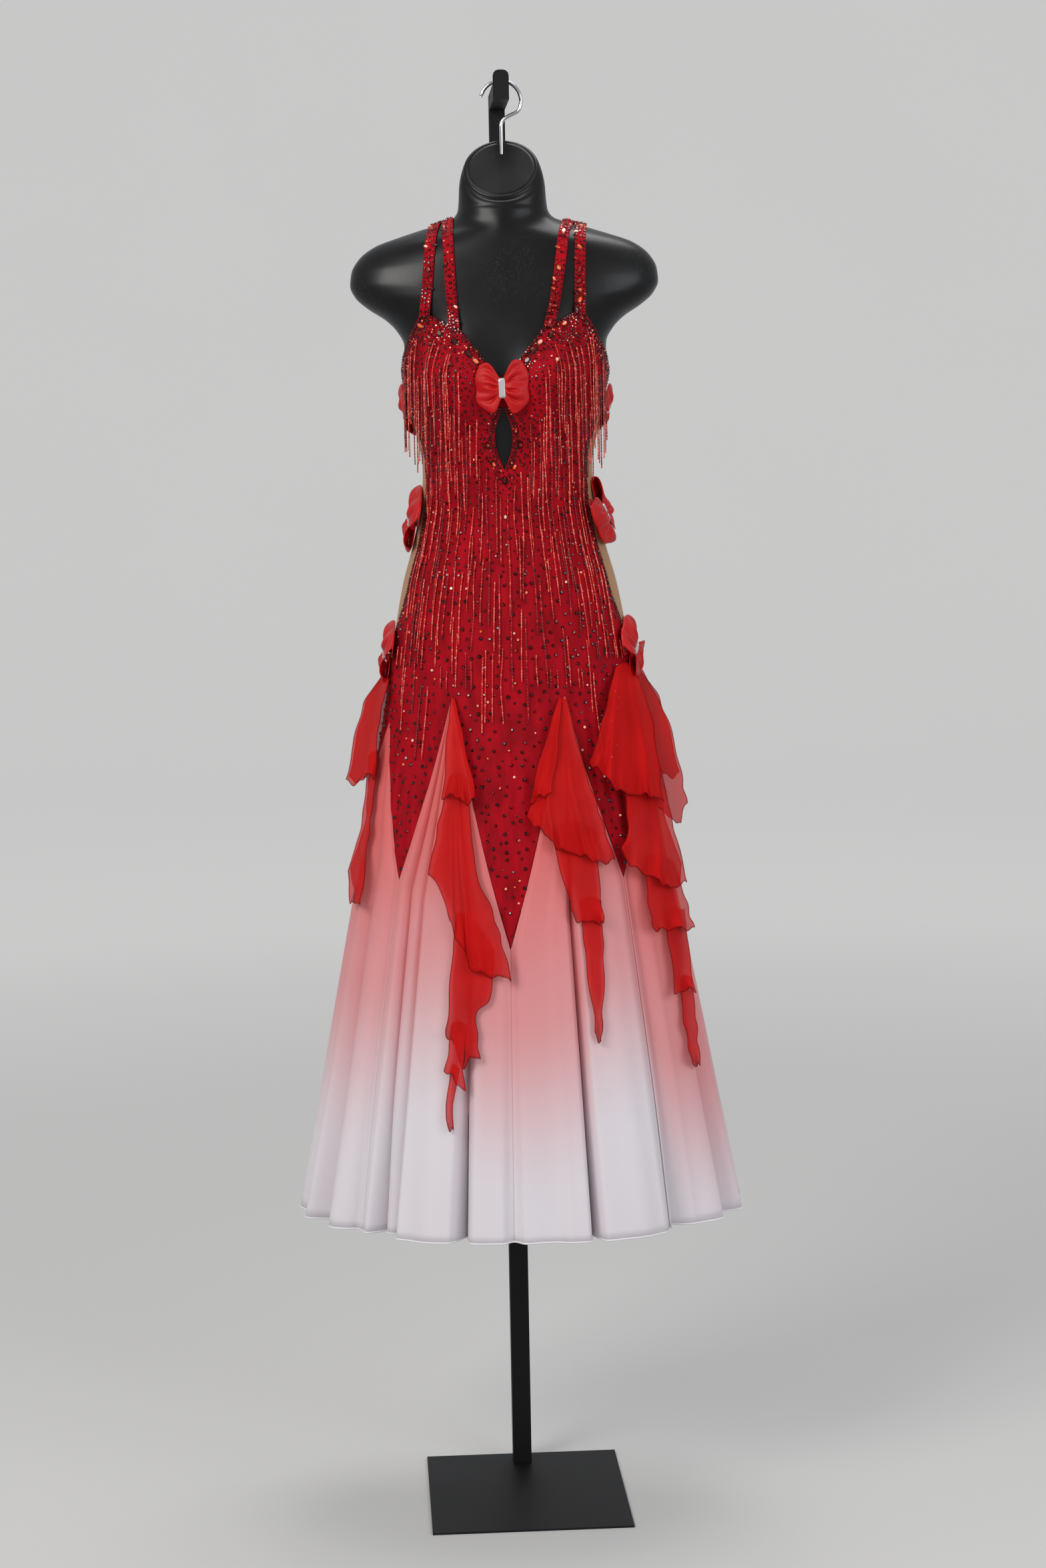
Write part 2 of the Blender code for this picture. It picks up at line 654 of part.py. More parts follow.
def crystal(name, middle, axes, size, glass, group):
    """The baguette stone over a bow's middle."""
    across, outward, up = axes
    bpy.ops.mesh.primitive_cube_add(size=1.0)
    stone = bpy.context.object
    stone.name = "crystal_" + name
    frame = Matrix.Identity(4)
    depth = CRYSTAL_DEPTH
    centre = middle + outward * (BOW_PLAN[0][1] * size + FIT_GAP + 0.5 * depth)
    for column, (axis, length) in enumerate(((across, CRYSTAL_WIDTH),
                                             (up, CRYSTAL_LENGTH * min(size, 1.0)),
                                             (outward, depth))):
        for line in range(3):
            frame[line][column] = axis[line] * length * MM
    for line in range(3):
        frame[line][3] = centre[line] * MM
    stone.data.transform(frame)
    for owner in list(stone.users_collection):
        owner.objects.unlink(stone)
    group.objects.link(stone)
    stone.data.materials.append(glass)


def form_reach(form_tree, x, turn):
    """The form's surface in a plane of constant x, met by a ray towards the strap centre."""
    direction = Vector((0.0, -math.cos(turn), math.sin(turn)))
    start = Vector((x, 0.0, STRAP_CENTRE)) + direction * STRAP_RAY
    hit = form_tree.ray_cast(start * MM, -direction)[0]
    return hit / MM, direction


def strap(name, form_tree, material, group):
    """A strap from the neckline over the shoulder to the back."""
    front_x, top_x, back_x = STRAPS[name]
    ends = []
    for x, edge, facing in ((front_x, NECKLINE, -1), (back_x, BACK_EDGE, 1)):
        for side in (-1, 1):
            foot_x = x + side * 0.5 * STRAP_WIDTH
            z = read_line(edge, abs(foot_x)) + STRAP_SEAM
            turn = angle_of_x(foot_x, z)
            ends.append(dress_point(behind(turn) if facing > 0 else turn, z))
    first = math.atan2(ends[0].z - STRAP_CENTRE, -0.5 * (ends[0].y + ends[1].y))
    last = math.atan2(ends[2].z - STRAP_CENTRE, -0.5 * (ends[2].y + ends[3].y))
    if last < 0:
        last += 2 * math.pi
    rows = [ends[:2]]
    for k in range(1, STRAP_STEPS):
        t = k / STRAP_STEPS
        t += STRAP_CROWDING * math.sin(2 * math.pi * t) / (2 * math.pi)
        turn = first + (last - first) * t
        if turn < math.pi / 2:
            x = front_x + (top_x - front_x) * (turn - first) / (math.pi / 2 - first)
        else:
            x = top_x + (back_x - top_x) * (turn - math.pi / 2) / (last - math.pi / 2)
        row = []
        for side in (-1, 1):
            point, direction = form_reach(form_tree, x + side * 0.5 * STRAP_WIDTH, turn)
            row.append(point + direction * STRAP_LIFT)
        rows.append(row)
    rows.append(ends[2:])
    sheet_object(name, rows, STRAP_THICK, material, group)


def reach_towards(direction, z):
    """How far the cloth lies from the middle, in one level direction."""
    low, high = -REACH_SEARCH, REACH_SEARCH
    for _ in range(SEARCH_STEPS):
        mid = 0.5 * (low + high)
        point = section_point(DRESS, mid, z)
        if math.atan2(point.x, -point.y) < direction:
            low = mid
        else:
            high = mid
    return Vector((point.x, point.y)).length


def strand_path(angle, top, length, seat_off):
    """A strand from its root: plumb where it hangs clear, along the cloth where that swells."""
    root = section_point(DRESS, angle, top)
    direction = math.atan2(root.x, -root.y)
    levels = STRAND_LEVELS
    reaches = [reach_towards(direction, top - length * k / levels) + COMB_STANDOFF + STRAND
               for k in range(levels + 1)]
    seat = top + COMB_STRIP
    stops = [(reach_towards(direction, seat) + seat_off, seat)]
    for here, seen in STRAND_BENDS:
        stops.append((max(reaches[:seen + 1]), top - length * here / levels))
    return [Vector((reach * math.sin(direction), -reach * math.cos(direction), z)) for reach, z in stops]


def fringe(name, material, group):
    """A comb of bead strands under a narrow strip; strips and strands are one closed body."""
    top, first, last, count, length, seat_off = COMBS[name]
    bm = bmesh.new()
    columns = []
    for k in range(count):
        angle = first + (last - first) * k / (count - 1)
        drop = length * (1.0 - STRAND_SHORTER * STRAND_LENGTHS[k % 3])
        path = strand_path(angle, top, drop, seat_off)
        outward = surface_normal(DRESS, angle, top)
        outward = Vector((outward.x, outward.y, 0.0)).normalized()
        across = Vector((0, 0, 1)).cross(outward)
        for side in (-1, 1):
            column = []
            for point in path:
                place = point + across * side * STRAND * 0.5
                column.append((bm.verts.new((place + outward * STRAND * 0.5) * MM),
                               bm.verts.new((place - outward * STRAND * 0.5) * MM)))
            columns.append(column)
    for k, (a, b) in enumerate(zip(columns, columns[1:])):
        in_strand = k % 2 == 0
        depth = len(a) - 1 if in_strand else 1
        for i in range(depth):
            bm.faces.new((a[i][0], a[i + 1][0], b[i + 1][0], b[i][0]))
            bm.faces.new((b[i][1], b[i + 1][1], a[i + 1][1], a[i][1]))
        bm.faces.new((a[0][1], a[0][0], b[0][0], b[0][1]))
        bm.faces.new((a[depth][0], a[depth][1], b[depth][1], b[depth][0]))
        if in_strand:
            for i in range(1, depth):
                bm.faces.new((a[i][1], a[i + 1][1], a[i + 1][0], a[i][0]))
                bm.faces.new((b[i][0], b[i + 1][0], b[i + 1][1], b[i][1]))
    for column, flip in ((columns[0], False), (columns[-1], True)):
        face = (column[0][1], column[1][1], column[1][0], column[0][0])
        bm.faces.new(face[::-1] if flip else face)
    mesh = bpy.data.meshes.new(name)
    bm.to_mesh(mesh)
    bm.free()
    obj = bpy.data.objects.new(name, mesh)
    group.objects.link(obj)
    obj.data.materials.append(material)


def torso_form(material, group, tools):
    """The smooth limbless form, with a slanted neck disc and a blind bore for the hook."""
    sides = FORM_SIDES
    heights = [row[0] for row in FIGURE if row[0] < DISC_BOTTOM[1]] + FORM_EXTRA_ROWS
    bm = bmesh.new()
    rings = []
    for rim in NECK_RIM:
        rings.append([neck_rim_point(360.0 * k / sides, *rim) for k in range(sides)])
    for z in sorted(heights, reverse=True):
        rings.append([section_point(FIGURE, 360.0 * k / sides - (360.0 if 2 * k > sides else 0.0), z)
                      for k in range(sides)])
    foot = rings[-1]
    centre = Vector((0.0, FORM_FOOT_Y, FORM_FOOT))
    for share, drop in FORM_FOOT_RINGS:
        rings.append([centre + (p - centre) * share - Vector((0, 0, drop)) for p in foot])
    rows = [[bm.verts.new(p * MM) for p in ring] for ring in rings]
    for upper, lower in zip(rows, rows[1:]):
        for k in range(sides):
            n = (k + 1) % sides
            bm.faces.new((upper[k], lower[k], lower[n], upper[n]))
    bm.faces.new(rows[0])
    bm.faces.new(rows[-1][::-1])
    mesh = bpy.data.meshes.new("torso_form")
    bm.to_mesh(mesh)
    obj = bpy.data.objects.new("torso_form", mesh)
    group.objects.link(obj)
    obj.data.materials.append(material)
    bpy.ops.mesh.primitive_cylinder_add(vertices=BORE_SIDES, depth=BORE_DEPTH * MM,
                                        radius=(0.5 * HOOK_WIRE + BORE_CLEARANCE) * MM)
    drill = bpy.context.object
    drill.name = "hook_bore_cutter"
    drill.location = (0.0, 0.0, (HOOK_STEM_FOOT - FIT_GAP + 0.5 * BORE_DEPTH) * MM)
    drill.hide_render = True
    drill.display_type = "WIRE"
    for owner in list(drill.users_collection):
        owner.objects.unlink(drill)
    tools.objects.link(drill)
    cut = obj.modifiers.new("hook_bore", "BOOLEAN")
    cut.operation = "DIFFERENCE"
    cut.solver = "EXACT"
    cut.object = drill
    mesh.shade_smooth()
    tree = BVHTree.FromBMesh(bm)
    bm.free()
    return tree


def neck_rim_point(angle, wide, share, dip):
    """A point of the slanted neck disc, or of the rounded rim round it."""
    (front_y, front_z), (back_y, back_z) = DISC_BOTTOM, DISC_TOP
    middle = Vector((0.0, 0.5 * (front_y + back_y), 0.5 * (front_z + back_z)))
    slope = 0.5 * Vector((0.0, back_y - front_y, back_z - front_z))
    facing = Vector((0.0, -slope.z, slope.y)).normalized()
    across = Vector((wide * math.sin(angle * DEG), 0.0, 0.0))
    return middle + across - slope * (share * math.cos(angle * DEG)) + facing * dip


def hook(material, group):
    """The wire hook: a stem out of the neck, a bend, and a round crook over the arm."""
    points = [(0.0, HOOK_STEM_FOOT), (0.0, HOOK_STEM_TOP)]
    turn = HOOK_TURN * DEG
    end = Vector((HOOK_RADIUS * math.cos(turn), HOOK_CENTRE + HOOK_RADIUS * math.sin(turn)))
    pull = Vector((math.sin(turn), -math.cos(turn))) * HOOK_PULL
    bend = (Vector((0.0, HOOK_STEM_TOP)), Vector((0.0, HOOK_STEM_TOP + HOOK_RISE)), end + pull, end)
    for k in range(1, HOOK_BEND_STEPS):
        t = k / HOOK_BEND_STEPS
        weights = ((1 - t) ** 3, 3 * t * (1 - t) ** 2, 3 * t * t * (1 - t), t ** 3)
        point = sum((p * w for p, w in zip(bend, weights)), Vector((0.0, 0.0)))
        points.append(tuple(point))
    for k in range(HOOK_STEPS + 1):
        angle = (HOOK_TURN + (HOOK_TIP - HOOK_TURN) * k / HOOK_STEPS) * DEG
        points.append((HOOK_RADIUS * math.cos(angle), HOOK_CENTRE + HOOK_RADIUS * math.sin(angle)))
    curve = bpy.data.curves.new("hook", "CURVE")
    curve.dimensions = "3D"
    curve.bevel_depth = 0.5 * HOOK_WIRE * MM
    curve.bevel_resolution = 2
    curve.use_fill_caps = True
    spline = curve.splines.new("POLY")
    spline.points.add(len(points) - 1)
    for place, (x, z) in zip(spline.points, points):
        place.co = (x * MM, 0.0, z * MM, 1.0)
    shape = bpy.data.objects.new("hook", curve)
    group.objects.link(shape)
    shape.data.materials.append(material)


def box_mesh(name, low, high):
    """A box mesh between two corners."""
    mesh = bpy.data.meshes.new(name)
    bm = bmesh.new()
    bmesh.ops.create_cube(bm, size=1.0)
    for vert in bm.verts:
        for axis in range(3):
            vert.co[axis] = (low[axis] if vert.co[axis] < 0 else high[axis]) * MM
    bm.to_mesh(mesh)
    bm.free()
    return mesh


def stand_object(name, mesh, material, group, yaw):
    """A piece of the stand, turned with it."""
    obj = bpy.data.objects.new(name, mesh)
    group.objects.link(obj)
    obj.data.materials.append(material)
    obj.parent = yaw
    return obj


def cut_with(obj, mesh, name, tools, yaw, operation):
    """Cut or join a helper box to a piece of the stand."""
    helper = bpy.data.objects.new(name, mesh)
    tools.objects.link(helper)
    helper.parent = yaw
    helper.hide_render = True
    helper.display_type = "WIRE"
    change = obj.modifiers.new(name, "BOOLEAN")
    change.operation = operation
    change.solver = "EXACT"
    change.object = helper


def stand(material, group, tools):
    """Base plate, lower tube, the post that slides in it, and the arm with its lip."""
    yaw = bpy.data.objects.new("stand_yaw", None)
    yaw.rotation_euler = (0.0, 0.0, STAND_YAW * DEG)
    tools.objects.link(yaw)
    half_plate, half_low, half_up = 0.5 * PLATE_WIDTH, 0.5 * LOWER_POST, 0.5 * ARM_WIDTH
    centre_y = POST_FACE + half_low
    plate = box_mesh("base_plate", (-half_plate, PLATE_FRONT, 0), (half_plate, PLATE_BACK, PLATE_THICK))
    stand_object("base_plate", plate, material, group, yaw)
    low_foot = PLATE_THICK + FIT_GAP
    tube = stand_object("lower_post", box_mesh(
        "lower_post", (-half_low, centre_y - half_low, low_foot), (half_low, centre_y + half_low, LOWER_TOP)),
        material, group, yaw)
    inner = half_low - LOWER_WALL
    cut_with(tube, box_mesh("tube_bore", (-inner, centre_y - inner, low_foot - 10),
                            (inner, centre_y + inner, LOWER_TOP + 10)), "tube_bore", tools, yaw, "DIFFERENCE")
    stand_object("upper_post", box_mesh(
        "upper_post", (-half_up, centre_y - half_up, LOWER_TOP - POST_OVERLAP),
        (half_up, centre_y + half_up, ARM_TOP)), material, group, yaw)
    arm = stand_object("top_arm", box_mesh(
        "top_arm", (-half_up, LIP_FRONT + 0.5 * LIP_THICK, ARM_FOOT),
        (half_up, centre_y - half_up - FIT_GAP, ARM_TOP)), material, group, yaw)
    lip = lip_mesh(half_up, tools)
    cut_with(arm, lip, "arm_lip", tools, yaw, "UNION")


def lip_mesh(half_width, tools):
    """The upright lip at the arm's end, with its two upper corners rounded."""
    curve = bpy.data.curves.new("lip", "CURVE")
    curve.dimensions = "2D"
    curve.fill_mode = "BOTH"
    curve.extrude = 0.5 * LIP_THICK * MM
    outline = [(-half_width, ARM_FOOT), (half_width, ARM_FOOT)]
    for side, start in ((1, 0), (-1, 90)):
        for k in range(4):
            angle = (start + 30 * k) * DEG
            outline.append((side * (half_width - LIP_ROUND) + LIP_ROUND * math.cos(angle),
                            LIP_TOP - LIP_ROUND + LIP_ROUND * math.sin(angle)))
    spline = curve.splines.new("POLY")
    spline.points.add(len(outline) - 1)
    for point, (x, z) in zip(spline.points, outline):
        point.co = (x * MM, z * MM, 0.0, 1.0)
    spline.use_cyclic_u = True
    shape = bpy.data.objects.new("lip_curve", curve)
    tools.objects.link(shape)
    obj = mesh_from_curve(shape, "lip_shape", tools)
    mesh = obj.data
    mesh.transform(Matrix.Translation((0.0, (LIP_FRONT + 0.5 * LIP_THICK) * MM, 0.0))
                   @ Matrix.Rotation(math.pi / 2, 4, "X"))
    bpy.data.objects.remove(obj, do_unlink=True)
    return mesh


def main():
    """Build every piece."""
    clear_scene()
    group = make_collection("ballroom_dance_dress")
    tools = make_collection("cutters")
    beaded = make_material("beaded_red", (0.42, 0.012, 0.022), 0.45)
    nude = make_material("nude_mesh", (0.47, 0.30, 0.17), 0.6)
    ombre = make_material("ombre_satin", (0.72, 0.32, 0.31), 0.4)
    chiffon = make_material("red_chiffon", (0.62, 0.02, 0.025), 0.5)
    satin = make_material("red_satin", (0.50, 0.012, 0.018), 0.3)
    beads = make_material("bugle_beads", (0.55, 0.03, 0.03), 0.2)
    glass = make_material("white_crystal", (0.85, 0.85, 0.86), 0.05)
    black = make_material("black_plastic", (0.012, 0.012, 0.013), 0.3)
    chrome = make_material("chrome", (0.8, 0.8, 0.82), 0.08, 1.0)
    coated = make_material("black_coated_steel", (0.015, 0.015, 0.017), 0.5, 0.0)
    front_panel(beaded, group, tools)
    back_panel(beaded, group)
    side_panels(nude, group)
    for name in GODETS:
        godet(name, ombre, group)
    for name in CASCADES:
        cascade(name, chiffon, group)
    for name in BOWS:
        bow(name, satin, glass, group)
    form_tree = torso_form(black, group, tools)
    for name in STRAPS:
        strap(name, form_tree, beaded, group)
    for name in COMBS:
        fringe(name, beads, group)
    hook(chrome, group)
    stand(coated, group, tools)


main()
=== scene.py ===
"""Looks of a beaded ballroom dance dress that hangs on a limbless torso form and its stand.

Lengths in the tables are millimetres, and angles are degrees round the figure from the front.
Meshes are in metres: +Z up, the front of the dress towards -Y, the floor at zero.
"""
import math

import bmesh
import bpy
import numpy as np
from bpy.props import FloatProperty, FloatVectorProperty, IntProperty, PointerProperty
from mathutils import Matrix, Vector

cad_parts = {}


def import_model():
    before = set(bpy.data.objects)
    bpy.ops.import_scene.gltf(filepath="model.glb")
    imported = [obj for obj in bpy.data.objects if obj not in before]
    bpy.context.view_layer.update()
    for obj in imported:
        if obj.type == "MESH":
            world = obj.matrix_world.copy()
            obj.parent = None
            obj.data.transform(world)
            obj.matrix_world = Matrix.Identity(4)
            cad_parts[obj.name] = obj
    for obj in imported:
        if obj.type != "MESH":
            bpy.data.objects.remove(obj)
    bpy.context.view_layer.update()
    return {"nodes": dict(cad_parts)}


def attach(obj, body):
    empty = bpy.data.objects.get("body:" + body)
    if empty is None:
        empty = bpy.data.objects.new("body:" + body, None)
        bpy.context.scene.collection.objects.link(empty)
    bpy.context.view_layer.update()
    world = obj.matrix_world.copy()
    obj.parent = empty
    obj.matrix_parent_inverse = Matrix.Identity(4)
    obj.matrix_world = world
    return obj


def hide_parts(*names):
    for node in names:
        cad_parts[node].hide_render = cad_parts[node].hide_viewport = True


bl_info = {
    "name": "Ballroom Dance Dress",
    "version": (1, 0, 0),
    "blender": (4, 5, 0),
    "location": "View3D > Sidebar > Dress",
    "description": "Cloth, beadwork, torso form and stand of a ballroom dance dress",
    "category": "Add Mesh",
}

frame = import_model()

MM = 0.001
DEG = math.pi / 180.0

# Level sections of the torso form.
# Columns: height, half width, front depth, back depth, squareness of the outline.
FIGURE = (
    (1925, 44, 30, 40, 2.1),
    (1900, 51, 44, 45, 2.1),
    (1875, 54, 48, 47, 2.1),
    (1838, 58, 51, 51, 2.1),
    (1822, 62, 53, 54, 2.1),
    (1812, 68, 55, 57, 1.9),
    (1804, 88, 57, 61, 1.6),
    (1797, 114, 59, 65, 1.5),
    (1788, 143, 61, 69, 1.7),
    (1775, 179, 64, 74, 1.95),
    (1758, 201, 67, 79, 2.25),
    (1740, 211, 70, 83, 2.5),
    (1722, 213, 73, 85, 2.6),
    (1706, 206, 75, 87, 2.6),
    (1690, 188, 77, 88, 2.5),
    (1675, 165, 79, 88, 2.4),
    (1660, 150, 81, 88, 2.3),
    (1640, 140, 84, 87, 2.2),
    (1600, 139, 88, 84, 2.2),
    (1560, 132, 89, 78, 2.2),
    (1520, 122, 86, 71, 2.2),
    (1475, 114, 81, 64, 2.2),
    (1430, 116, 79, 61, 2.2),
    (1370, 128, 85, 68, 2.2),
    (1311, 145, 95, 80, 2.2),
    (1256, 155, 103, 87, 2.2),
    (1200, 166, 109, 89, 2.1),
    (1150, 168, 110, 87, 2.1),
    (1100, 162, 104, 82, 2.1),
    (1050, 150, 94, 76, 2.1),
)
# The skirt below the hips, with the same columns
SKIRT = (
    (1150, 176, 116, 91, 2.1),
    (1100, 184, 122, 93, 2.05),
    (1034, 196, 135, 104, 2.0),
    (907, 219, 157, 127, 2.0),
    (776, 243, 178, 148, 2.0),
    (595, 275, 201, 171, 2.0),
    (425, 301, 216, 188, 2.0),
)
HIP_JOIN, CLOTH_OFF_FORM = 1175, 3.6
DRESS = tuple((z, a + CLOTH_OFF_FORM, f + CLOTH_OFF_FORM, b + CLOTH_OFF_FORM, n)
              for z, a, f, b, n in FIGURE if z > HIP_JOIN) + SKIRT
# Mean radii of the bodice and the skirt in metres, for their UV maps
BODICE_RADIUS, SKIRT_RADIUS = 0.13, 0.25
CUP_HEIGHT, CUP_X, CUP_DEPTH, CUP_RADIUS_X, CUP_RADIUS_Z = 1588, 72, 27, 47, 52
FORM_CUP_SHARE = 0.8
POST_DENT_LIMIT, POST_DENT_WIDTH = 92, 24

# Upper edges: distance from the centre, height
NECKLINE = ((0, 1583), (20, 1609), (58, 1658), (72, 1664), (99, 1678), (113, 1676),
            (128, 1652), (139, 1625), (143.5, 1600))
BACK_EDGE = ((0, 1508), (40, 1530), (75, 1572), (100, 1590), (125, 1597), (143.5, 1600))
SIDE_TOP = 1600
# Where the coloured panels end at the side: height, angle
SIDE_EDGE = ((1610, 86), (1560, 79), (1500, 71), (1430, 68), (1370, 67), (1311, 67),
             (1262, 75), (1222, 87), (1205, 89.85))
# Points and godet peaks along the panels' lower edge: angle, height
POINTS = ((0, 819), (25, 1160), (45, 907), (68, 1122), (90, 1034), (112, 1122), (135, 907),
          (155, 1160), (180, 819))
HEM, HEM_LIFT, HIP_ROW, TIP_LIFT, SEAM_GAP = 425, 0.3, 1190, 0.7, 0.5
MESH_FOOT, FRONT_LIMIT = 1216, 89
KEYHOLE_TOP, KEYHOLE_BOTTOM, KEYHOLE_WIDTH = 1552, 1466, 24
# The skirt drags folds into the panels below one height, and level wrinkles cross the waist
DRAG_TOP, DRAG_RUN, WRINKLE_HEIGHT, WRINKLE_RUN = 1250, 260, 1440, 45
# Upright creases of the panels, where the skirt's weight drags them: angle, depth, half width
PANEL_CREASES = ((2.2, 4.2, 1.1), (8.0, 2.6, 0.9), (15.0, 1.2, 1.1), (38, 1.6, 1.6),
                 (52, 1.6, 1.6), (80, 1.8, 2.0), (100, 1.8, 2.0), (142, 1.6, 2.0))

# Folds of each godet: share of its width from the left, how far it stands out at the hem
FOLDS = {
    "front_left": ((0.06, 5), (0.13, -9), (0.20, -5), (0.26, -9), (0.32, 12), (0.48, 15),
                   (0.63, 13), (0.70, -10), (0.77, 11), (0.93, 10)),
    "front_right": ((0.07, 9), (0.24, 6), (0.34, 12), (0.42, 14), (0.475, -10), (0.53, 13),
                    (0.72, 15), (0.90, 11)),
    "side_left": ((0.12, 10), (0.30, 2), (0.45, 13), (0.60, -12), (0.78, 12), (0.92, 5)),
    "side_right": ((0.08, -9), (0.22, 2), (0.42, 12), (0.56, -10), (0.72, 13), (0.88, -6)),
    "rear_left": ((0.14, 10), (0.30, -12), (0.48, 14), (0.66, -12), (0.84, 10)),
    "rear_right": ((0.16, 10), (0.34, -12), (0.52, 14), (0.70, -12), (0.86, 10)),
    "back_left": ((0.12, -5), (0.28, 10), (0.44, -12), (0.60, 13), (0.78, -12), (0.92, 8)),
    "back_right": ((0.10, 9), (0.26, -12), (0.42, 13), (0.58, -12), (0.74, 10), (0.90, -5)),
}
# Left point, peak and right point of each godet, as angles
GODETS = {
    "front_left": (-45, -25, 0), "front_right": (0, 25, 45),
    "side_left": (-90, -68, -45), "side_right": (45, 68, 90),
    "rear_left": (-135, -112, -90), "rear_right": (90, 112, 135),
    "back_left": (-180, -155, -135), "back_right": (135, 155, 180),
}
# How far the skirt's crests stand out at the hem, how far the cascades clear them, and the height
# below which the folds flare
CREST, CASCADE_CLEAR, FLARE_TOP = 16, 2.6, 640
# Widths of a flute and a ruffle of the chiffon, and the radius of its sewn edge
FLUTE_WIDTH, RUFFLE_WIDTH, OVERLOCK_RADIUS = 46, 19, 0.7
# Columns and rows of the grids of the godets and tiers that face the front, and of the others
GODET_GRIDS, OTHER_GODETS = {"front": (128, 80), "side": (88, 80)}, (76, 70)
TIER_GRID, OTHER_TIERS = (44, 40), (30, 30)
# Narrow creases where one fold laps over the next: share of the width, depth at the hem, half
# width as a share
CREASES = {
    "front_left": ((0.125, 13, 0.022), (0.265, 9, 0.020), (0.70, 14, 0.028)),
    "front_right": ((0.475, 18, 0.028), (0.985, 4, 0.020)),
    "side_left": ((0.33, 8, 0.04), (0.61, 14, 0.04), (0.93, 8, 0.04)),
    "side_right": ((0.06, 9, 0.04), (0.56, 14, 0.04), (0.90, 9, 0.04)),
    "rear_left": ((0.30, 12, 0.04), (0.66, 12, 0.04)),
    "rear_right": ((0.34, 12, 0.04), (0.70, 12, 0.04)),
    "back_left": ((0.12, 9, 0.03), (0.44, 13, 0.03), (0.78, 12, 0.03)),
    "back_right": ((0.26, 12, 0.03), (0.58, 13, 0.03), (0.88, 9, 0.03)),
}
# The height at which the dye runs out: angle, height
DYE_END = ((-180, 620), (-90, 650), (-50, 655), (-34, 700), (-22, 715), (-15, 680), (-8, 620),
           (8, 610), (20, 630), (24, 700), (42, 705), (52, 560), (80, 535), (120, 620), (180, 620))
DYE_TOP, DYE_SHARE, DYE_RUN = 1130, 0.44, 290
# How far up the dye scale the cloth reaches; the whiter thread of the hem stands at one
DYED_CLOTH = 0.9

# Chiffon cascades: the tiers of each, from the top. Columns: left edge, right edge and what of the
# hem lies between their ends, as distances from the centre and heights, then how far the tier
# stands off the crests
TIERS = {
    "front_left": (
        (((-75, 1156), (-85, 1092), (-93, 1021)), ((-70, 1156), (-59, 1092), (-46, 1019)),
         ((-73, 1023), (-59, 1014)), 9),
        (((-82, 1050), (-96, 993), (-112, 920)), ((-58, 1050), (-47, 927), (-24, 866), (1, 781)),
         ((-83, 858), (-66, 822), (-58, 797), (-30, 786)), 5),
        (((-74, 868), (-82, 778), (-88, 700)), ((-22, 820), (-28, 756), (-46, 734), (-42, 675)),
         ((-79, 696), (-71, 663), (-58, 674)), 2),
        (((-82, 718), (-87, 681), (-91, 658)), ((-60, 718), (-66, 664), (-64, 631)),
         ((-80, 645),), 5),
        (((-83, 664), (-89, 619), (-91, 592)), ((-72, 660), (-80, 619), (-82, 580)),
         ((-87, 578),), 2),
    ),
    "front_right": (
        (((66, 1154), (48, 1082), (31, 1013)), ((71, 1154), (68, 1082), (62, 1026)),
         ((43, 1022),), 10),
        (((67, 1153), (40, 1047), (30, 992)), ((78, 1152), (97, 1078), (116, 1017), (142, 931)),
         ((47, 973), (70, 953), (95, 942), (123, 931)), 6),
        (((58, 975), (72, 915), (86, 868)), ((117, 975), (124, 884), (129, 848)),
         ((97, 853), (114, 852)), 3),
        (((96, 880), (104, 794), (116, 704)), ((124, 880), (127, 794), (123, 690)),
         ((120, 692),), 1),
    ),
    "side_right": (
        (((146, 1192), (131, 1119), (117, 1065)), ((172, 1192), (198, 1110), (214, 1004)),
         ((132, 1046), (160, 1022), (189, 1013)), 14),
        (((158, 1184), (176, 1108), (192, 1006)), ((184, 1184), (222, 1099), (246, 992)),
         ((212, 984), (232, 964)), 5),
        (((158, 1046), (162, 977), (155, 944)), ((208, 1046), (227, 947), (240, 884)),
         ((175, 918), (200, 899), (224, 885)), 9),
        (((185, 930), (189, 877), (195, 839)), ((224, 915), (243, 855), (254, 819)),
         ((207, 830), (228, 829)), 6),
        (((210, 852), (219, 793), (226, 740)), ((238, 846), (246, 775), (254, 737)),
         ((237, 744),), 4),
        (((231, 760), (236, 700), (247, 645)), ((247, 756), (253, 691), (257, 640)),
         ((251, 640),), 2),
    ),
    "side_left": (
        (((-182, 1180), (-208, 1135), (-233, 1032)), ((-168, 1180), (-182, 1122), (-190, 1042)),
         ((-219, 1027), (-206, 1045)), 9),
        (((-202, 1070), (-215, 963), (-235, 906)), ((-186, 1070), (-200, 963), (-212, 865)),
         ((-231, 864), (-225, 871)), 4),
    ),
}
# Columns: tiers, turned to the back, left and right changed over
CASCADES = {
    "front_left": ("front_left", False, False), "front_right": ("front_right", False, False),
    "side_left": ("side_left", False, False), "side_right": ("side_right", False, False),
    "rear_left": ("side_left", True, False), "rear_right": ("side_left", True, True),
    "back_left": ("front_right", True, True), "back_right": ("front_right", True, False),
}
# Bows. Columns: angle, height, turn about its middle, size, stand-off
BOWS = {
    "front": (0, 1576, 2, 1.0, 9.0),
    "underarm_left": (-90, 1551, 58, 0.9, 2.0),
    "underarm_right": (89, 1551, -60, 0.8, 2.0),
    "waist_left": (-82, 1397, 58, 1.15, 5.7),
    "waist_right": (80, 1402, 34, 1.15, 6.7),
    "hip_left": (-84, 1214, 66, 1.1, 2.8),
    "hip_right": (80, 1216, -58, 1.1, 3.9),
}
BOW_REACH, BOW_TALL, BOW_WAIST, BOW_SWELL, BOW_BACK = 37.0, 35.0, 11.0, 8.0, 1.2
# The band round a bow's middle: half width, half height, how far out its middle is, and its swell
KNOT = (5.2, 13.5, 1.3, 3.3)
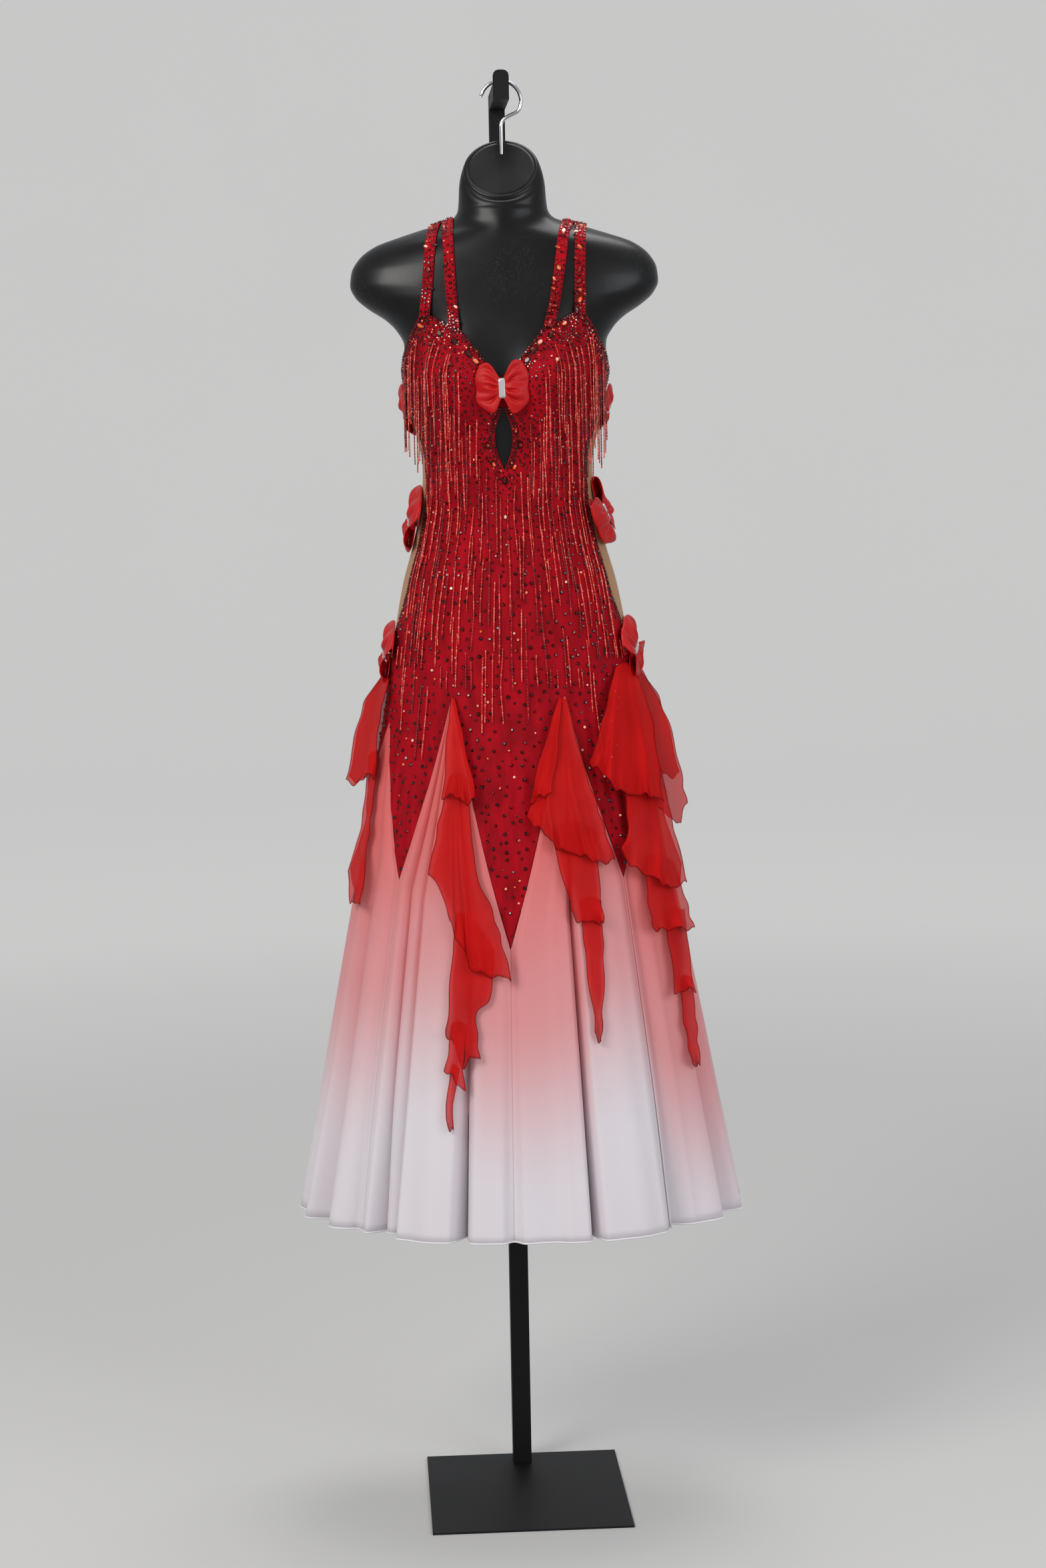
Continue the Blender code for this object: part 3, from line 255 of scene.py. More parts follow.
# The baguette stone: length, width, depth and cut corner, and how far out it sits; then, at each
# level of its facets, its height and size as shares, and the painted shade of the facets, which
# stands in for light reflected inside the stone
CRYSTAL, CRYSTAL_SEAT, CRYSTAL_GAP = (27.0, 11.0, 5.0, 1.6), 4.5, 0.3
CRYSTAL_LEVELS = ((0.0, 0.96, 0.2), (0.15, 1.0, 0.4), (0.5, 1.0, 0.9), (0.72, 0.86, 0.35),
                  (0.9, 0.7, 1.0), (1.0, 0.55, 0.75))
# Creases of a bow's loops: where from the lower edge, -1, to the upper, 1; half width, minus where
# the left loop has them upside down; depth; how far out it is deepest
BOW_CREASES = ((0.42, 0.09, 5.2, 0.40), (-0.12, -0.08, 6.4, 0.32), (-0.52, 0.10, 5.4, 0.44),
               (0.75, 0.08, 2.8, 0.55), (0.16, -0.11, 3.6, 0.72))

# Straps: x at the front foot, on the shoulder and at the back foot
STRAPS = {
    "left_outer": (-106, -92, -88), "left_inner": (-64, -76, -70),
    "right_inner": (64, 92, 74), "right_outer": (106, 108, 92),
}
STRAP_WIDTH, STRAP_WALL, STRAP_CENTRE, STRAP_LIFT, STRAP_ON_CLOTH = 14.5, 2.2, 1640, 1.9, 2.2
# How far a strap's middle stands proud, how far its foot reaches below the edge, the share of its
# run over which it eases onto the cloth, and the length of its UV map in metres
STRAP_CROWN, STRAP_FOOT, STRAP_EASE, STRAP_UV_LENGTH = 0.6, 3.0, 0.13, 0.4
# Rows of stones along a strap: place across it, count, width
STRAP_STONES = ((-0.36, 84, 4.0), (-0.02, 62, 5.4), (0.34, 84, 4.0))

# Bead fringe. Columns: root height, first angle, last angle, strands, length, scatter of roots
COMBS = {
    "bust_left": (1618, -71, -22, 26, 122, 30),
    "bust_right": (1618, 22, 71, 26, 122, 30),
    "underbust_left": (1530, -62, -14, 16, 100, 28),
    "underbust_right": (1530, 14, 62, 16, 100, 28),
    "waist": (1448, -58, 58, 34, 112, 34),
    "high_hip": (1346, -60, 60, 36, 108, 40),
    "hip": (1232, -64, 64, 40, 100, 66),
}
STRAND_OFF, LOWEST_STRAND = 3.4, 900.0
# Rings of a bead: how far along it each is, and its share of the radius
BEAD_RINGS, BEAD_SHARES = (0.0, 0.14, 0.86), (0.45, 1.0, 1.0)
# Strands end above the cascades: first angle, last angle, lowest end
STRAND_FLOORS = ((-90, -60, 1200), (-35, -12, 1168), (12, 37, 1168), (44, 90, 1204))

# Form, hook and stand, as the solids have them
DISC_BOTTOM, DISC_TOP = (-46, 1836), (12, 1918)
# Neck disc, groove and rounded rim. Columns: half width, share of the disc's slope, rise
NECK_RIM = ((9, 0.18, 0), (28, 0.56, 0), (43, 0.86, 0), (45, 0.90, 0), (45.6, 0.915, -0.7),
            (46.4, 0.93, -0.7), (47, 0.942, 0), (49, 0.975, -0.2), (50.8, 1.01, -1.1),
            (52, 1.032, -2.4), (52.5, 1.04, -3.5))
NECK_FOOT, NECK_BULGE, FORM_SIDES, FORM_ROWS = 1822.0, 5.0, 104, 190
FORM_FOOT, FORM_FOOT_Y = 1050, 8
# The rounded foot: share of its outline, drop
FOOT_ROUND = ((0.985, 3), (0.95, 7.5), (0.9, 12), (0.8, 16), (0.6, 19.4), (0.3, 20))
HOOK_RADIUS, HOOK_WIRE, HOOK_CENTRE, HOOK_TIP, HOOK_TURN = 27.8, 5.0, 1969.2, 167, -25
HOOK_STEM_TOP, HOOK_STEM_FOOT, HOOK_RISE, HOOK_PULL = 1936, 1872.5, 14, 7

# The camera: focal length for a 36 mm frame height, tilt down, roll in radians, turn round the
# figure, and where it stands
LENS, TILT, ROLL, TURN = 65.57, 6.25, 0.0185, 2.5
CAMERA_HEIGHT, CAMERA_DISTANCE, CAMERA_SHIFT = 1464, 4000, 13.5
# The studio: a round floor that sweeps up into a wall, whose far parts glow faintly
FLOOR_RADIUS, SWEEP_RADIUS, WALL_TOP, STAGE_SIDES = 9500, 2500, 9000, 120
GLOW_START, GLOW_FULL, WALL_GLOW = 700, 6000, 0.42
# Lamps, which face the middle of the dress. Columns: place and width in metres, watts, colour
LAMPS = {
    "key_light": ((-2.2, -3.0, 3.4), 1.8, 85, (1.0, 0.98, 0.95)),
    "fill_light": ((2.6, -2.6, 2.2), 2.2, 38, (0.95, 0.97, 1.0)),
    "top_light": ((0.2, 0.6, 3.7), 1.6, 30, (1.0, 1.0, 1.0)),
}
LAMP_AIM, AIR, AIR_STRENGTH = (0, 0, 1.2), (0.9, 0.92, 0.95, 1), 0.45


def read_table(table, at, column):
    """A column of a table whose first column falls, on a monotone cubic.

    Inner slopes are the harmonic mean of the slopes on both sides, or zero where those differ in
    sign, and each stretch is the cubic that has the table's values and slopes at its ends.
    """
    rows = np.asarray(table, float)
    keys, values = -rows[:, 0], rows[:, column]
    x = np.clip(-np.asarray(at, float), keys[0], keys[-1])
    slope = np.diff(values) / np.diff(keys)
    before, after = slope[:-1], slope[1:]
    total = np.where(before * after > 0, before + after, 1.0)
    inner = np.where(before * after > 0, 2 * before * after / total, 0.0)
    tangent = np.concatenate((slope[:1], inner, slope[-1:]))
    i = np.clip(np.searchsorted(keys, x), 1, len(keys) - 1)
    span = keys[i] - keys[i - 1]
    t = (x - keys[i - 1]) / span
    return (values[i - 1] * (1 + 2 * t) * (1 - t) ** 2 + span * tangent[i - 1] * t * (1 - t) ** 2
            + values[i] * t * t * (3 - 2 * t) + span * tangent[i] * t * t * (t - 1))


def read_line(table, at):
    """The second column of a table whose first column rises, on straight lines."""
    keys, values = np.asarray(table, float).T[:2]
    return np.interp(at, keys, values)


def ease(t):
    """0 below 0, 1 above 1, and 3 t squared less 2 t cubed between them."""
    t = np.clip(t, 0.0, 1.0)
    return t * t * (3 - 2 * t)


def halve(holds, shape, low, high, turns):
    """Where a test stops holding between two values, whose stretch is halved each turn."""
    low, high = np.full(shape, float(low)), np.full(shape, float(high))
    for _ in range(turns):
        middle = (low + high) / 2
        kept = holds(middle)
        low, high = np.where(kept, middle, low), np.where(kept, high, middle)
    return (low + high) / 2


def stack(*parts):
    """Coordinates side by side, as points."""
    return np.stack(np.broadcast_arrays(*parts), axis=-1)


def unit(v):
    """Vectors at length one."""
    return v / np.maximum(np.linalg.norm(v, axis=-1, keepdims=True), 1e-9)


def cup_swell(table, x, z):
    """How far the two cups stand out: a bell-shaped swelling round the middle of each."""
    swell = sum(np.exp(-((x - side * CUP_X) / CUP_RADIUS_X) ** 2
                       - ((z - CUP_HEIGHT) / CUP_RADIUS_Z) ** 2) for side in (-1, 1))
    return CUP_DEPTH * (FORM_CUP_SHARE if table is FIGURE else 1.0) * swell


def section_point(table, angle, z):
    """A point of the figure: a superellipse of the table's sizes at its height.

    x is the half width times the sine, and y the depth times the cosine, each raised to 2 over
    the squareness. The cups swell the front, and a bell-shaped dent clears the post.
    """
    angle, z = np.broadcast_arrays(np.asarray(angle, float), np.asarray(z, float))
    half, front, back, square = (read_table(table, z, c) for c in (1, 2, 3, 4))
    s, c = np.sin(angle * DEG), np.cos(angle * DEG)
    x = half * np.sign(s) * np.abs(s) ** (2 / square)
    y = -np.where(c > 0, front, back) * np.sign(c) * np.abs(c) ** (2 / square)
    dent = np.exp(-((180 - np.abs(angle)) / POST_DENT_WIDTH) ** 2)
    y = y - cup_swell(table, x, z) * np.clip(3 * c, 0, 1)
    y = y - np.where((c <= 0) & (back > POST_DENT_LIMIT), (back - POST_DENT_LIMIT) * dent, 0.0)
    return stack(x, y, z)


def surface_normal(table, angle, z):
    """The outward direction: the cross product of short steps across and up the surface."""
    angle, z = np.broadcast_arrays(np.asarray(angle, float), np.asarray(z, float))
    across = section_point(table, angle + 0.5, z) - section_point(table, angle - 0.5, z)
    up = section_point(table, angle, z + 1) - section_point(table, angle, z - 1)
    return unit(np.cross(across, up))


def dress_point(angle, z, lift=0.0):
    """A point of the dress, moved out along its normal by a lift."""
    lift = np.asarray(lift, float)[..., None]
    return section_point(DRESS, angle, z) + surface_normal(DRESS, angle, z) * lift


def angle_of_x(x, z):
    """The angle at which the dress reaches x: the arcsine of its share of the half width."""
    share = np.minimum(0.999, np.abs(x) / read_table(DRESS, z, 1))
    return np.sign(x) * np.arcsin(share ** (read_table(DRESS, z, 4) / 2)) / DEG


def behind(angle):
    """The angle that mirrors one from the front to the back."""
    return np.where(angle < 0, -180.0, 180.0) - angle


def side_edge(z):
    """The angle at which the coloured panels end."""
    return read_table(SIDE_EDGE, z, 1)


def keyhole_half(z):
    """Half the keyhole's width: a cosine between its pointed ends."""
    middle, tall = (KEYHOLE_TOP + KEYHOLE_BOTTOM) / 2, (KEYHOLE_TOP - KEYHOLE_BOTTOM) / 2
    h = np.clip((z - middle) / tall, -1, 1)
    return 0.5 * KEYHOLE_WIDTH * np.cos(h * math.pi / 2)


def cloth_uv(angle, z, radius):
    """A UV map in metres: the arc at a mean radius, and the height."""
    return stack(angle * DEG * radius, z * MM)


def edge_heights(shares, edge):
    """The height of a panel's upper edge at each share of its width, found by halving."""
    def below(z):
        return read_line(edge, np.abs(section_point(DRESS, shares * side_edge(z), z)[..., 0])) > z

    return np.where(shares >= 1, SIDE_TOP, halve(below, len(shares), 1450, 1720, 30))


def drag_folds(angle, z):
    """Low upright folds that the hanging skirt pulls into the panel: cosines that grow downwards.

    Bell-shaped creases are taken off them, and level wrinkles cross the waist.
    """
    grow = ease((DRAG_TOP - z) / DRAG_RUN)
    waist = np.exp(-((z - WRINKLE_HEIGHT) / WRINKLE_RUN) ** 2)
    crease = sum(deep * np.exp(-((np.abs(angle) - at) / wide) ** 2)
                 for at, deep, wide in PANEL_CREASES)
    return (1.1 * grow * np.cos(angle * 0.92 + 0.4) + 0.5 * grow * np.cos(angle * 2.1 + z * 0.01)
            - grow * crease + 0.35 * waist * np.cos(z * 0.42 + angle * 0.05))


def panel_half(side, edge, shares, body_rows, point_rows, turned, keyhole):
    """One half of a front or back panel, as angles and heights on a grid.

    Rows run evenly from the upper edge to the hip and on to the zigzag of points, and columns
    run from the centre, or from the keyhole's rim, out to the side edge.
    """
    tops = edge_heights(shares, edge)
    run = np.linspace(0, 1, body_rows + 1)[:, None]
    z = tops + (HIP_ROW - tops) * run
    rim = angle_of_x(keyhole_half(z), z) if keyhole else 0.0 * z
    angle = rim + (side_edge(z) - rim) * shares
    low_angle = np.broadcast_to(shares * SIDE_EDGE[-1][1], (point_rows, len(shares)))
    foot = read_line(POINTS, low_angle) + TIP_LIFT
    fall = np.linspace(0, 1, point_rows + 1)[1:, None]
    angle = side * np.concatenate((angle, low_angle))
    z = np.concatenate((z, HIP_ROW + (foot - HIP_ROW) * fall))
    return (behind(angle) if turned else angle), z


def grid_faces(rows, columns, closed=False):
    """Quads of a grid of points counted row by row; a closed grid joins its last column on."""
    r = np.arange(rows - 1)[:, None]
    c = np.arange(columns if closed else columns - 1)[None, :]
    n = (c + 1) % columns
    corners = (r * columns + c, (r + 1) * columns + c, (r + 1) * columns + n, r * columns + n)
    return np.stack(np.broadcast_arrays(*corners), axis=-1).reshape(-1, 4)


class Form:
    """Points and faces that are gathered into one mesh, with a UV and values at each point."""

    def __init__(self):
        self.points, self.faces, self.uv, self.values, self.count = [], [], [], {}, 0

    def add(self, points, faces, uv=None, **values):
        """Add a surface; faces is an array of quads, or a list of such arrays and polygons."""
        points = np.asarray(points, float).reshape(-1, 3)
        for block in faces if isinstance(faces, list) else [faces]:
            self.faces.append(np.asarray(block) + self.count)
        self.points.append(points)
        self.uv.append(np.zeros((len(points), 2)) if uv is None else np.reshape(uv, (-1, 2)))
        for key in set(self.values) | set(values):
            past = self.values.setdefault(key, [np.zeros(self.count)])
            past.append(np.broadcast_to(values.get(key, 0.0), len(points)).astype(float))
        self.count += len(points)

    def make(self, name, material, smooth=True):
        """The mesh object, with its place in its mesh."""
        points = np.concatenate(self.points) * MM
        faces = np.concatenate([block.ravel() for block in self.faces])
        sizes = np.concatenate([np.full(block.size // block.shape[-1], block.shape[-1])
                                for block in self.faces])
        mesh = bpy.data.meshes.new(name)
        mesh.vertices.add(len(points))
        mesh.vertices.foreach_set("co", points.ravel())
        mesh.loops.add(len(faces))
        mesh.loops.foreach_set("vertex_index", faces.astype(np.int32))
        mesh.polygons.add(len(sizes))
        starts = np.concatenate(([0], np.cumsum(sizes)[:-1]))
        mesh.polygons.foreach_set("loop_start", starts.astype(np.int32))
        layer = mesh.uv_layers.new(name="UVMap")
        layer.data.foreach_set("uv", np.concatenate(self.uv)[faces].ravel())
        for key, parts in self.values.items():
            attribute = mesh.attributes.new(key, "FLOAT", "POINT")
            attribute.data.foreach_set("value", np.concatenate(parts).astype(np.float32))
        mesh.update(calc_edges=True)
        mesh.validate()
        if smooth:
            mesh.shade_smooth()
        else:
            mesh.shade_flat()
        obj = bpy.data.objects.new(name, mesh)
        bpy.context.scene.collection.objects.link(obj)
        mesh.materials.append(material)
        return obj


def make_piece(name, maker, points, faces, uv=None, smooth=True, **values):
    """A mesh object of one surface, with its finish."""
    form = Form()
    form.add(points, faces, uv, **values)
    return form.make(name, finish_of(maker), smooth)


def change_mesh(obj, change):
    """Pass an object's mesh through a change, such as a weld."""
    bm = bmesh.new()
    bm.from_mesh(obj.data)
    change(bm)
    bm.to_mesh(obj.data)
    bm.free()


def weld(bm):
    """Join points that lie on each other, such as the two halves of a panel at its centre."""
    bmesh.ops.remove_doubles(bm, verts=bm.verts, dist=1e-5)


def face_outwards(bm):
    """Turn all faces outwards."""
    bmesh.ops.recalc_face_normals(bm, faces=bm.faces)


def add_wall(obj, thickness):
    """Give a cloth surface its wall, half to each side."""
    wall = obj.modifiers.new("wall", "SOLIDIFY")
    wall.thickness = thickness * MM
    wall.offset = 0.0


def place(obj, slot, *nodes):
    """Fix a finished piece to the frame and hide the solids it stands for; the slot, which names
    its finish, is not used.
    """
    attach(obj, "root")
    if nodes:
        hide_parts(*nodes)
    return obj


def cap_faces(rows, sides):
    """The two end polygons of a closed grid."""
    return [np.arange(sides)[None, ::-1], (np.arange(sides) + (rows - 1) * sides)[None]]


def tube(path, radius, sides=6, up=(0, 0, 1)):
    """A tube along a path: circles of the given radii in the planes square to it."""
    path = np.asarray(path, float)
    along = unit(np.gradient(path, axis=0))
    first = unit(np.cross(along, np.broadcast_to(np.asarray(up, float), path.shape)))
    second = np.cross(along, first)
    turn = np.arange(sides) * 2 * math.pi / sides
    radius = np.broadcast_to(radius, len(path))[:, None, None]
    ring = first[:, None] * np.cos(turn)[:, None] + second[:, None] * np.sin(turn)[:, None]
    return (path[:, None] + ring * radius,
            [grid_faces(len(path), sides, closed=True), *cap_faces(len(path), sides)])


def smooth_line(points, t):
    """A curve through a few points at shares t of its run: a Catmull-Rom spline."""
    p = np.asarray(points, float)
    p = np.concatenate((2 * p[:1] - p[1:2], p, 2 * p[-1:] - p[-2:-1]))
    place_along = np.clip(np.asarray(t, float), 0, 1) * (len(p) - 3)
    i = np.minimum(place_along.astype(int), len(p) - 4)
    f = (place_along - i)[..., None]
    a, b, c, d = p[i], p[i + 1], p[i + 2], p[i + 3]
    return 0.5 * (2 * b + (c - a) * f + (2 * a - 5 * b + 4 * c - d) * f ** 2
                  + (3 * b - a - 3 * c + d) * f ** 3)


# Finishes

def paint(red, green, blue):
    """A screen colour as Blender's linear one."""
    c = np.array((red, green, blue)) / 255.0
    return tuple(np.where(c <= 0.04045, c / 12.92, ((c + 0.055) / 1.055) ** 2.4))


def dim(colour, share):
    """A share of a colour."""
    return np.array(colour) * share


def feed(socket, value):
    """Give a socket a link, a number or a colour."""
    if isinstance(value, bpy.types.NodeSocket):
        socket.id_data.links.new(value, socket)
    elif isinstance(value, (int, float)):
        socket.default_value = value
    else:
        socket.default_value = (*value[:3], 1)


def add_node(tree, kind, settings=None, **inputs):
    """A shader node with its settings and the values of its inputs."""
    made = tree.nodes.new(kind)
    for key, value in (settings or {}).items():
        setattr(made, key, value)
    for key, value in inputs.items():
        made.inputs[key.replace("_", " ")].default_value = value
    return made


def new_finish(colour, roughness, **sockets):
    """A Principled material; values that are the same all over stand on its own sockets."""
    mat = bpy.data.materials.new("finish")
    mat.use_nodes = True
    shader = mat.node_tree.nodes["Principled BSDF"]
    feed(shader.inputs["Base Color"], colour)
    feed(shader.inputs["Roughness"], roughness)
    for key, value in sockets.items():
        feed(shader.inputs[key.replace("_", " ")], value)
    return mat, mat.node_tree, shader


def ramp(tree, factor, *stops):
    """The colour of a ramp through (position, colour) stops, at a factor."""
    made = tree.nodes.new("ShaderNodeValToRGB")
    feed(made.inputs["Fac"], factor)
    elements = made.color_ramp.elements
    for element, (position, colour) in zip(elements, (stops[0], stops[-1])):
        element.position, element.color = position, (*colour, 1)
    for position, colour in stops[1:-1]:
        elements.new(position).color = (*colour, 1)
    return made.outputs["Color"]


def grey(value):
    """A grey that holds a value such as a roughness."""
    return value, value, value


def attribute(tree, name):
    """The factor of a mesh attribute."""
    return add_node(tree, "ShaderNodeAttribute", {"attribute_name": name}).outputs["Fac"]


def texture(tree, kind, coords="Object", stretch=(1, 1, 1), settings=None, output="Fac", **inputs):
    """An output of a texture on object or UV coordinates, scaled along each axis."""
    places = tree.nodes.new("ShaderNodeTexCoord")
    mapping = add_node(tree, "ShaderNodeMapping", Scale=stretch)
    feed(mapping.inputs["Vector"], places.outputs[coords])
    made = add_node(tree, "ShaderNodeTex" + kind, settings, **inputs)
    feed(made.inputs["Vector"], mapping.outputs["Vector"])
    return made.outputs[output]


def mixed(tree, factor, first, second, blend="MIX"):
    """Two colours mixed; each may be a socket or a colour, and the factor a socket or number."""
    mix = add_node(tree, "ShaderNodeMix", {"data_type": "RGBA", "blend_type": blend})
    for i, value in ((0, factor), (6, first), (7, second)):
        feed(mix.inputs[i], value)
    return mix.outputs[2]


def product(tree, first, second, plus=0.0):
    """The first value times the second, plus a third."""
    made = add_node(tree, "ShaderNodeMath", {"operation": "MULTIPLY_ADD"})
    for socket, value in zip(made.inputs, (first, second, plus)):
        feed(socket, value)
    return made.outputs[0]


def bump(tree, shader, heights, distance=0.0004, strength=0.6):
    """Chain bumps from one or more height sockets into the shader's normal."""
    target = shader
    for height in reversed(heights):
        made = add_node(tree, "ShaderNodeBump", Distance=distance, Strength=strength)
        feed(made.inputs["Height"], height)
        feed(target.inputs["Normal"], made.outputs["Normal"])
        target = made


def weave(tree, threads):
    """A plain weave: the product of two bands of threads on the UV map, which is in metres."""
    return product(tree, *(texture(tree, "Wave", "UV", settings={"bands_direction": axis},
                                   Scale=threads, Distortion=0.3, Detail=1.0)
                           for axis in ("X", "Y")))


def stretch_cloth_finish(colours):
    """Red stretch cloth: fine knit, faint upright shading, and a mottle of glued glitter whose
    sparkle is painted in as bright red glints.
    """
    mat, tree, shader = new_finish(colours.cloth, 0.6, Specular_IOR_Level=0.1)
    mottle = texture(tree, "Noise", stretch=(1, 1, 0.35), Scale=55.0, Detail=5.0)
    dust_and_glints = texture(tree, "Voronoi", output="Distance", Scale=420.0)
    shades = ramp(tree, mottle, (0.35, dim(colours.cloth, 0.62)), (0.65, colours.cloth))
    # Painted glints: specks of glued glitter, their sparkle painted in as bright red points
    painted_glints = ramp(tree, dust_and_glints, (0.0, (0.9, 0.12, 0.10)), (0.14, grey(0.0)))
    feed(shader.inputs["Base Color"], mixed(tree, 0.35, shades, painted_glints, "ADD"))
    bump(tree, shader, [weave(tree, 420.0), mottle])
    return mat


def nude_mesh_finish(colours):
    """Skin-coloured stretch mesh: small round holes in rows, a shade darker."""
    mat, tree, shader = new_finish(colours.mesh, 0.7, Sheen_Weight=0.1)
    holes = texture(tree, "Voronoi", output="Distance", Scale=900.0, Randomness=0.25)
    shades = ramp(tree, holes, (0.18, dim(colours.mesh, 0.45)), (0.5, colours.mesh))
    tone = texture(tree, "Noise", Scale=18.0, Detail=3.0)
    feed(shader.inputs["Base Color"], mixed(tree, tone, shades, dim(colours.mesh, 0.85)))
    bump(tree, shader, [holes])
    return mat


def ombre_finish(colours):
    """Satin crepe dyed from rose to white: the dye attribute drives the colour."""
    mat, tree, shader = new_finish(colours.rose, 0.48, Sheen_Weight=0.15)
    white, rose = np.array(colours.white), np.array(colours.rose)
    cloudy = texture(tree, "Noise", stretch=(1, 1, 0.4), Scale=9.0, Detail=4.0)
    fade = ramp(tree, product(tree, cloudy, 0.08, attribute(tree, "dye")),
                (0.0, rose), (0.24, rose * 0.92 + white * 0.08),
                (0.46, rose * 0.66 + white * 0.34), (0.94, white), (1.0, white ** 0.5))
    threads = weave(tree, 700.0)
    feed(shader.inputs["Base Color"], mixed(tree, 0.08, fade, threads, "MULTIPLY"))
    bump(tree, shader, [threads], 0.0002, 0.35)
    return mat


def chiffon_finish(colours):
    """Sheer red chiffon: evenly see-through, crinkled, and darker at its sewn edge."""
    mat, tree, shader = new_finish(colours.chiffon, 0.6, Specular_IOR_Level=0.1, Alpha=0.6)
    crinkle = texture(tree, "Noise", stretch=(1, 1, 0.5), Scale=160.0, Detail=4.0)
    soft = texture(tree, "Noise", Scale=14.0, Detail=2.0)
    shade = mixed(tree, soft, dim(colours.chiffon, 0.72), colours.chiffon)
    feed(shader.inputs["Base Color"],
         mixed(tree, attribute(tree, "edge"), shade, dim(colours.chiffon, 0.35)))
    bump(tree, shader, [crinkle, weave(tree, 800.0)], 0.0003, 0.35)
    return mat


def satin_finish(colours):
    """Bow satin: a low gloss along the ribbon, faint slubs and a very fine weave."""
    mat, tree, shader = new_finish(colours.satin, 0.3, Anisotropic=0.5, Specular_IOR_Level=0.3)
    slub = texture(tree, "Noise", "UV", (1, 12, 1), Scale=26.0, Detail=3.0)
    feed(shader.inputs["Base Color"], mixed(tree, slub, dim(colours.satin, 0.8), colours.satin))
    bump(tree, shader, [slub, weave(tree, 900.0)], 0.0002, 0.3)
    return mat


def bead_finish(colours):
    """Cut glass beads: clear red over a silver lining; the tone attribute paints each strand's
    shade and light, and the glints of some beads.
    """
    mat, tree, shader = new_finish(colours.beads, 0.2, Metallic=0.1, Coat_Weight=0.5,
                                   Coat_Roughness=0.06)
    # The tone ramp runs from painted shade through the beads' red to a pale painted highlight
    tones = ramp(tree, attribute(tree, "tone"), (0.0, (0.10, 0.002, 0.006)),
                 (0.3, dim(colours.beads, 0.45)), (0.6, colours.beads), (1.0, (1.0, 0.22, 0.14)))
    streak = texture(tree, "Noise", stretch=(1, 1, 0.2), output="Color", Scale=900.0)
    feed(shader.inputs["Base Color"], mixed(tree, 0.25, tones, streak, "OVERLAY"))
    bump(tree, shader, [streak.node.outputs["Fac"]], 0.0001, 0.2)
    return mat


def stone_finish(colours):
    """Foiled rhinestones, from near black through siam red; the orange flash and the pale spark at
    the top of the tone ramp are painted light.
    """
    mat, tree, shader = new_finish(colours.stones, 0.1, Metallic=0.1, Coat_Weight=0.3,
                                   Coat_Roughness=0.02)
    tones = ramp(tree, attribute(tree, "tone"), (0.0, dim(colours.stones, 0.08)),
                 (0.4, dim(colours.stones, 0.5)), (0.7, dim(colours.stones, 1.8) + 0.01),
                 (0.88, (1.0, 0.17, 0.015)), (1.0, (1.0, 0.70, 0.60)))
    # Painted fire: noise flecks of coloured light laid over the stone's colour
    fire = texture(tree, "Noise", output="Color", Scale=700.0, Detail=1.0)
    feed(shader.inputs["Base Color"], mixed(tree, 0.3, tones, fire, "OVERLAY"))
    return mat


def crystal_finish(colours):
    """Clear cut glass, foiled white, with faint clouding; painted reflections darken some faces of
    the stone and lighten others, as light reflected inside it.
    """
    mat, tree, shader = new_finish(colours.crystal, 0.04, IOR=1.55, Coat_Weight=1.0,
                                   Coat_Roughness=0.02, Transmission_Weight=0.25)
    cloud = texture(tree, "Noise", Scale=160.0, Detail=2.0)
    # Painted reflections: each face of the stone darkened or lightened by its painted light
    painted_reflections = mixed(tree, attribute(tree, "facet"), dim(colours.crystal, 0.25), colours.crystal)
    clear = mixed(tree, cloud, painted_reflections, colours.crystal)
    feed(shader.inputs["Base Color"], mixed(tree, 0.35, painted_reflections, clear))
    return mat


def plastic_finish(colours):
    """Gloss black plastic: faint dust and hair-fine scratches that dull it in places."""
    mat, tree, shader = new_finish(colours.plastic, 0.3, Specular_IOR_Level=0.3,
                                   Coat_Weight=0.05, Coat_Roughness=0.12)
    smears = texture(tree, "Noise", Scale=11.0, Detail=6.0, Distortion=0.8)
    hairs = texture(tree, "Wave", stretch=(1.0, 1.0, 0.35), Scale=60.0, Distortion=24.0,
                    Detail=4.0, Detail_Scale=2.5)
    patches = texture(tree, "Noise", Scale=7.0, Detail=1.0)
    fine = ramp(tree, hairs, (0.0, grey(1)), (0.012, grey(0)))
    where = ramp(tree, patches, (0.56, grey(0)), (0.66, grey(1)))
    marks = mixed(tree, 1.0, fine, where, "MULTIPLY")
    feed(shader.inputs["Roughness"], ramp(tree, smears, (0.3, grey(0.24)), (0.75, grey(0.40))))
    feed(shader.inputs["Base Color"], mixed(tree, marks, colours.plastic, grey(0.05)))
    bump(tree, shader, [marks, smears], 0.00005, 0.15)
    return mat


def chrome_finish(colours):
    """Bright chrome wire with faint drawing marks."""
    mat, tree, shader = new_finish(colours.chrome, 0.09, Metallic=1.0)
    marks = texture(tree, "Noise", stretch=(1, 1, 0.1), Scale=300.0, Detail=3.0)
    feed(shader.inputs["Roughness"], ramp(tree, marks, (0.3, grey(0.05)), (0.8, grey(0.17))))
    bump(tree, shader, [marks], 0.00002, 0.2)
    return mat


def coated_steel_finish(colours):
    """Matt black powder coat: a fine orange peel, with a little dust."""
    mat, tree, shader = new_finish(colours.steel, 0.5, Specular_IOR_Level=0.28)
    peel = texture(tree, "Noise", Scale=520.0, Detail=4.0)
    dust_and_glints = texture(tree, "Noise", Scale=7.0, Detail=6.0)
    feed(shader.inputs["Base Color"],
         ramp(tree, dust_and_glints, (0.45, colours.steel), (0.9, dim(colours.steel, 2.2))))
    bump(tree, shader, [peel], 0.00015, 0.5)
    return mat


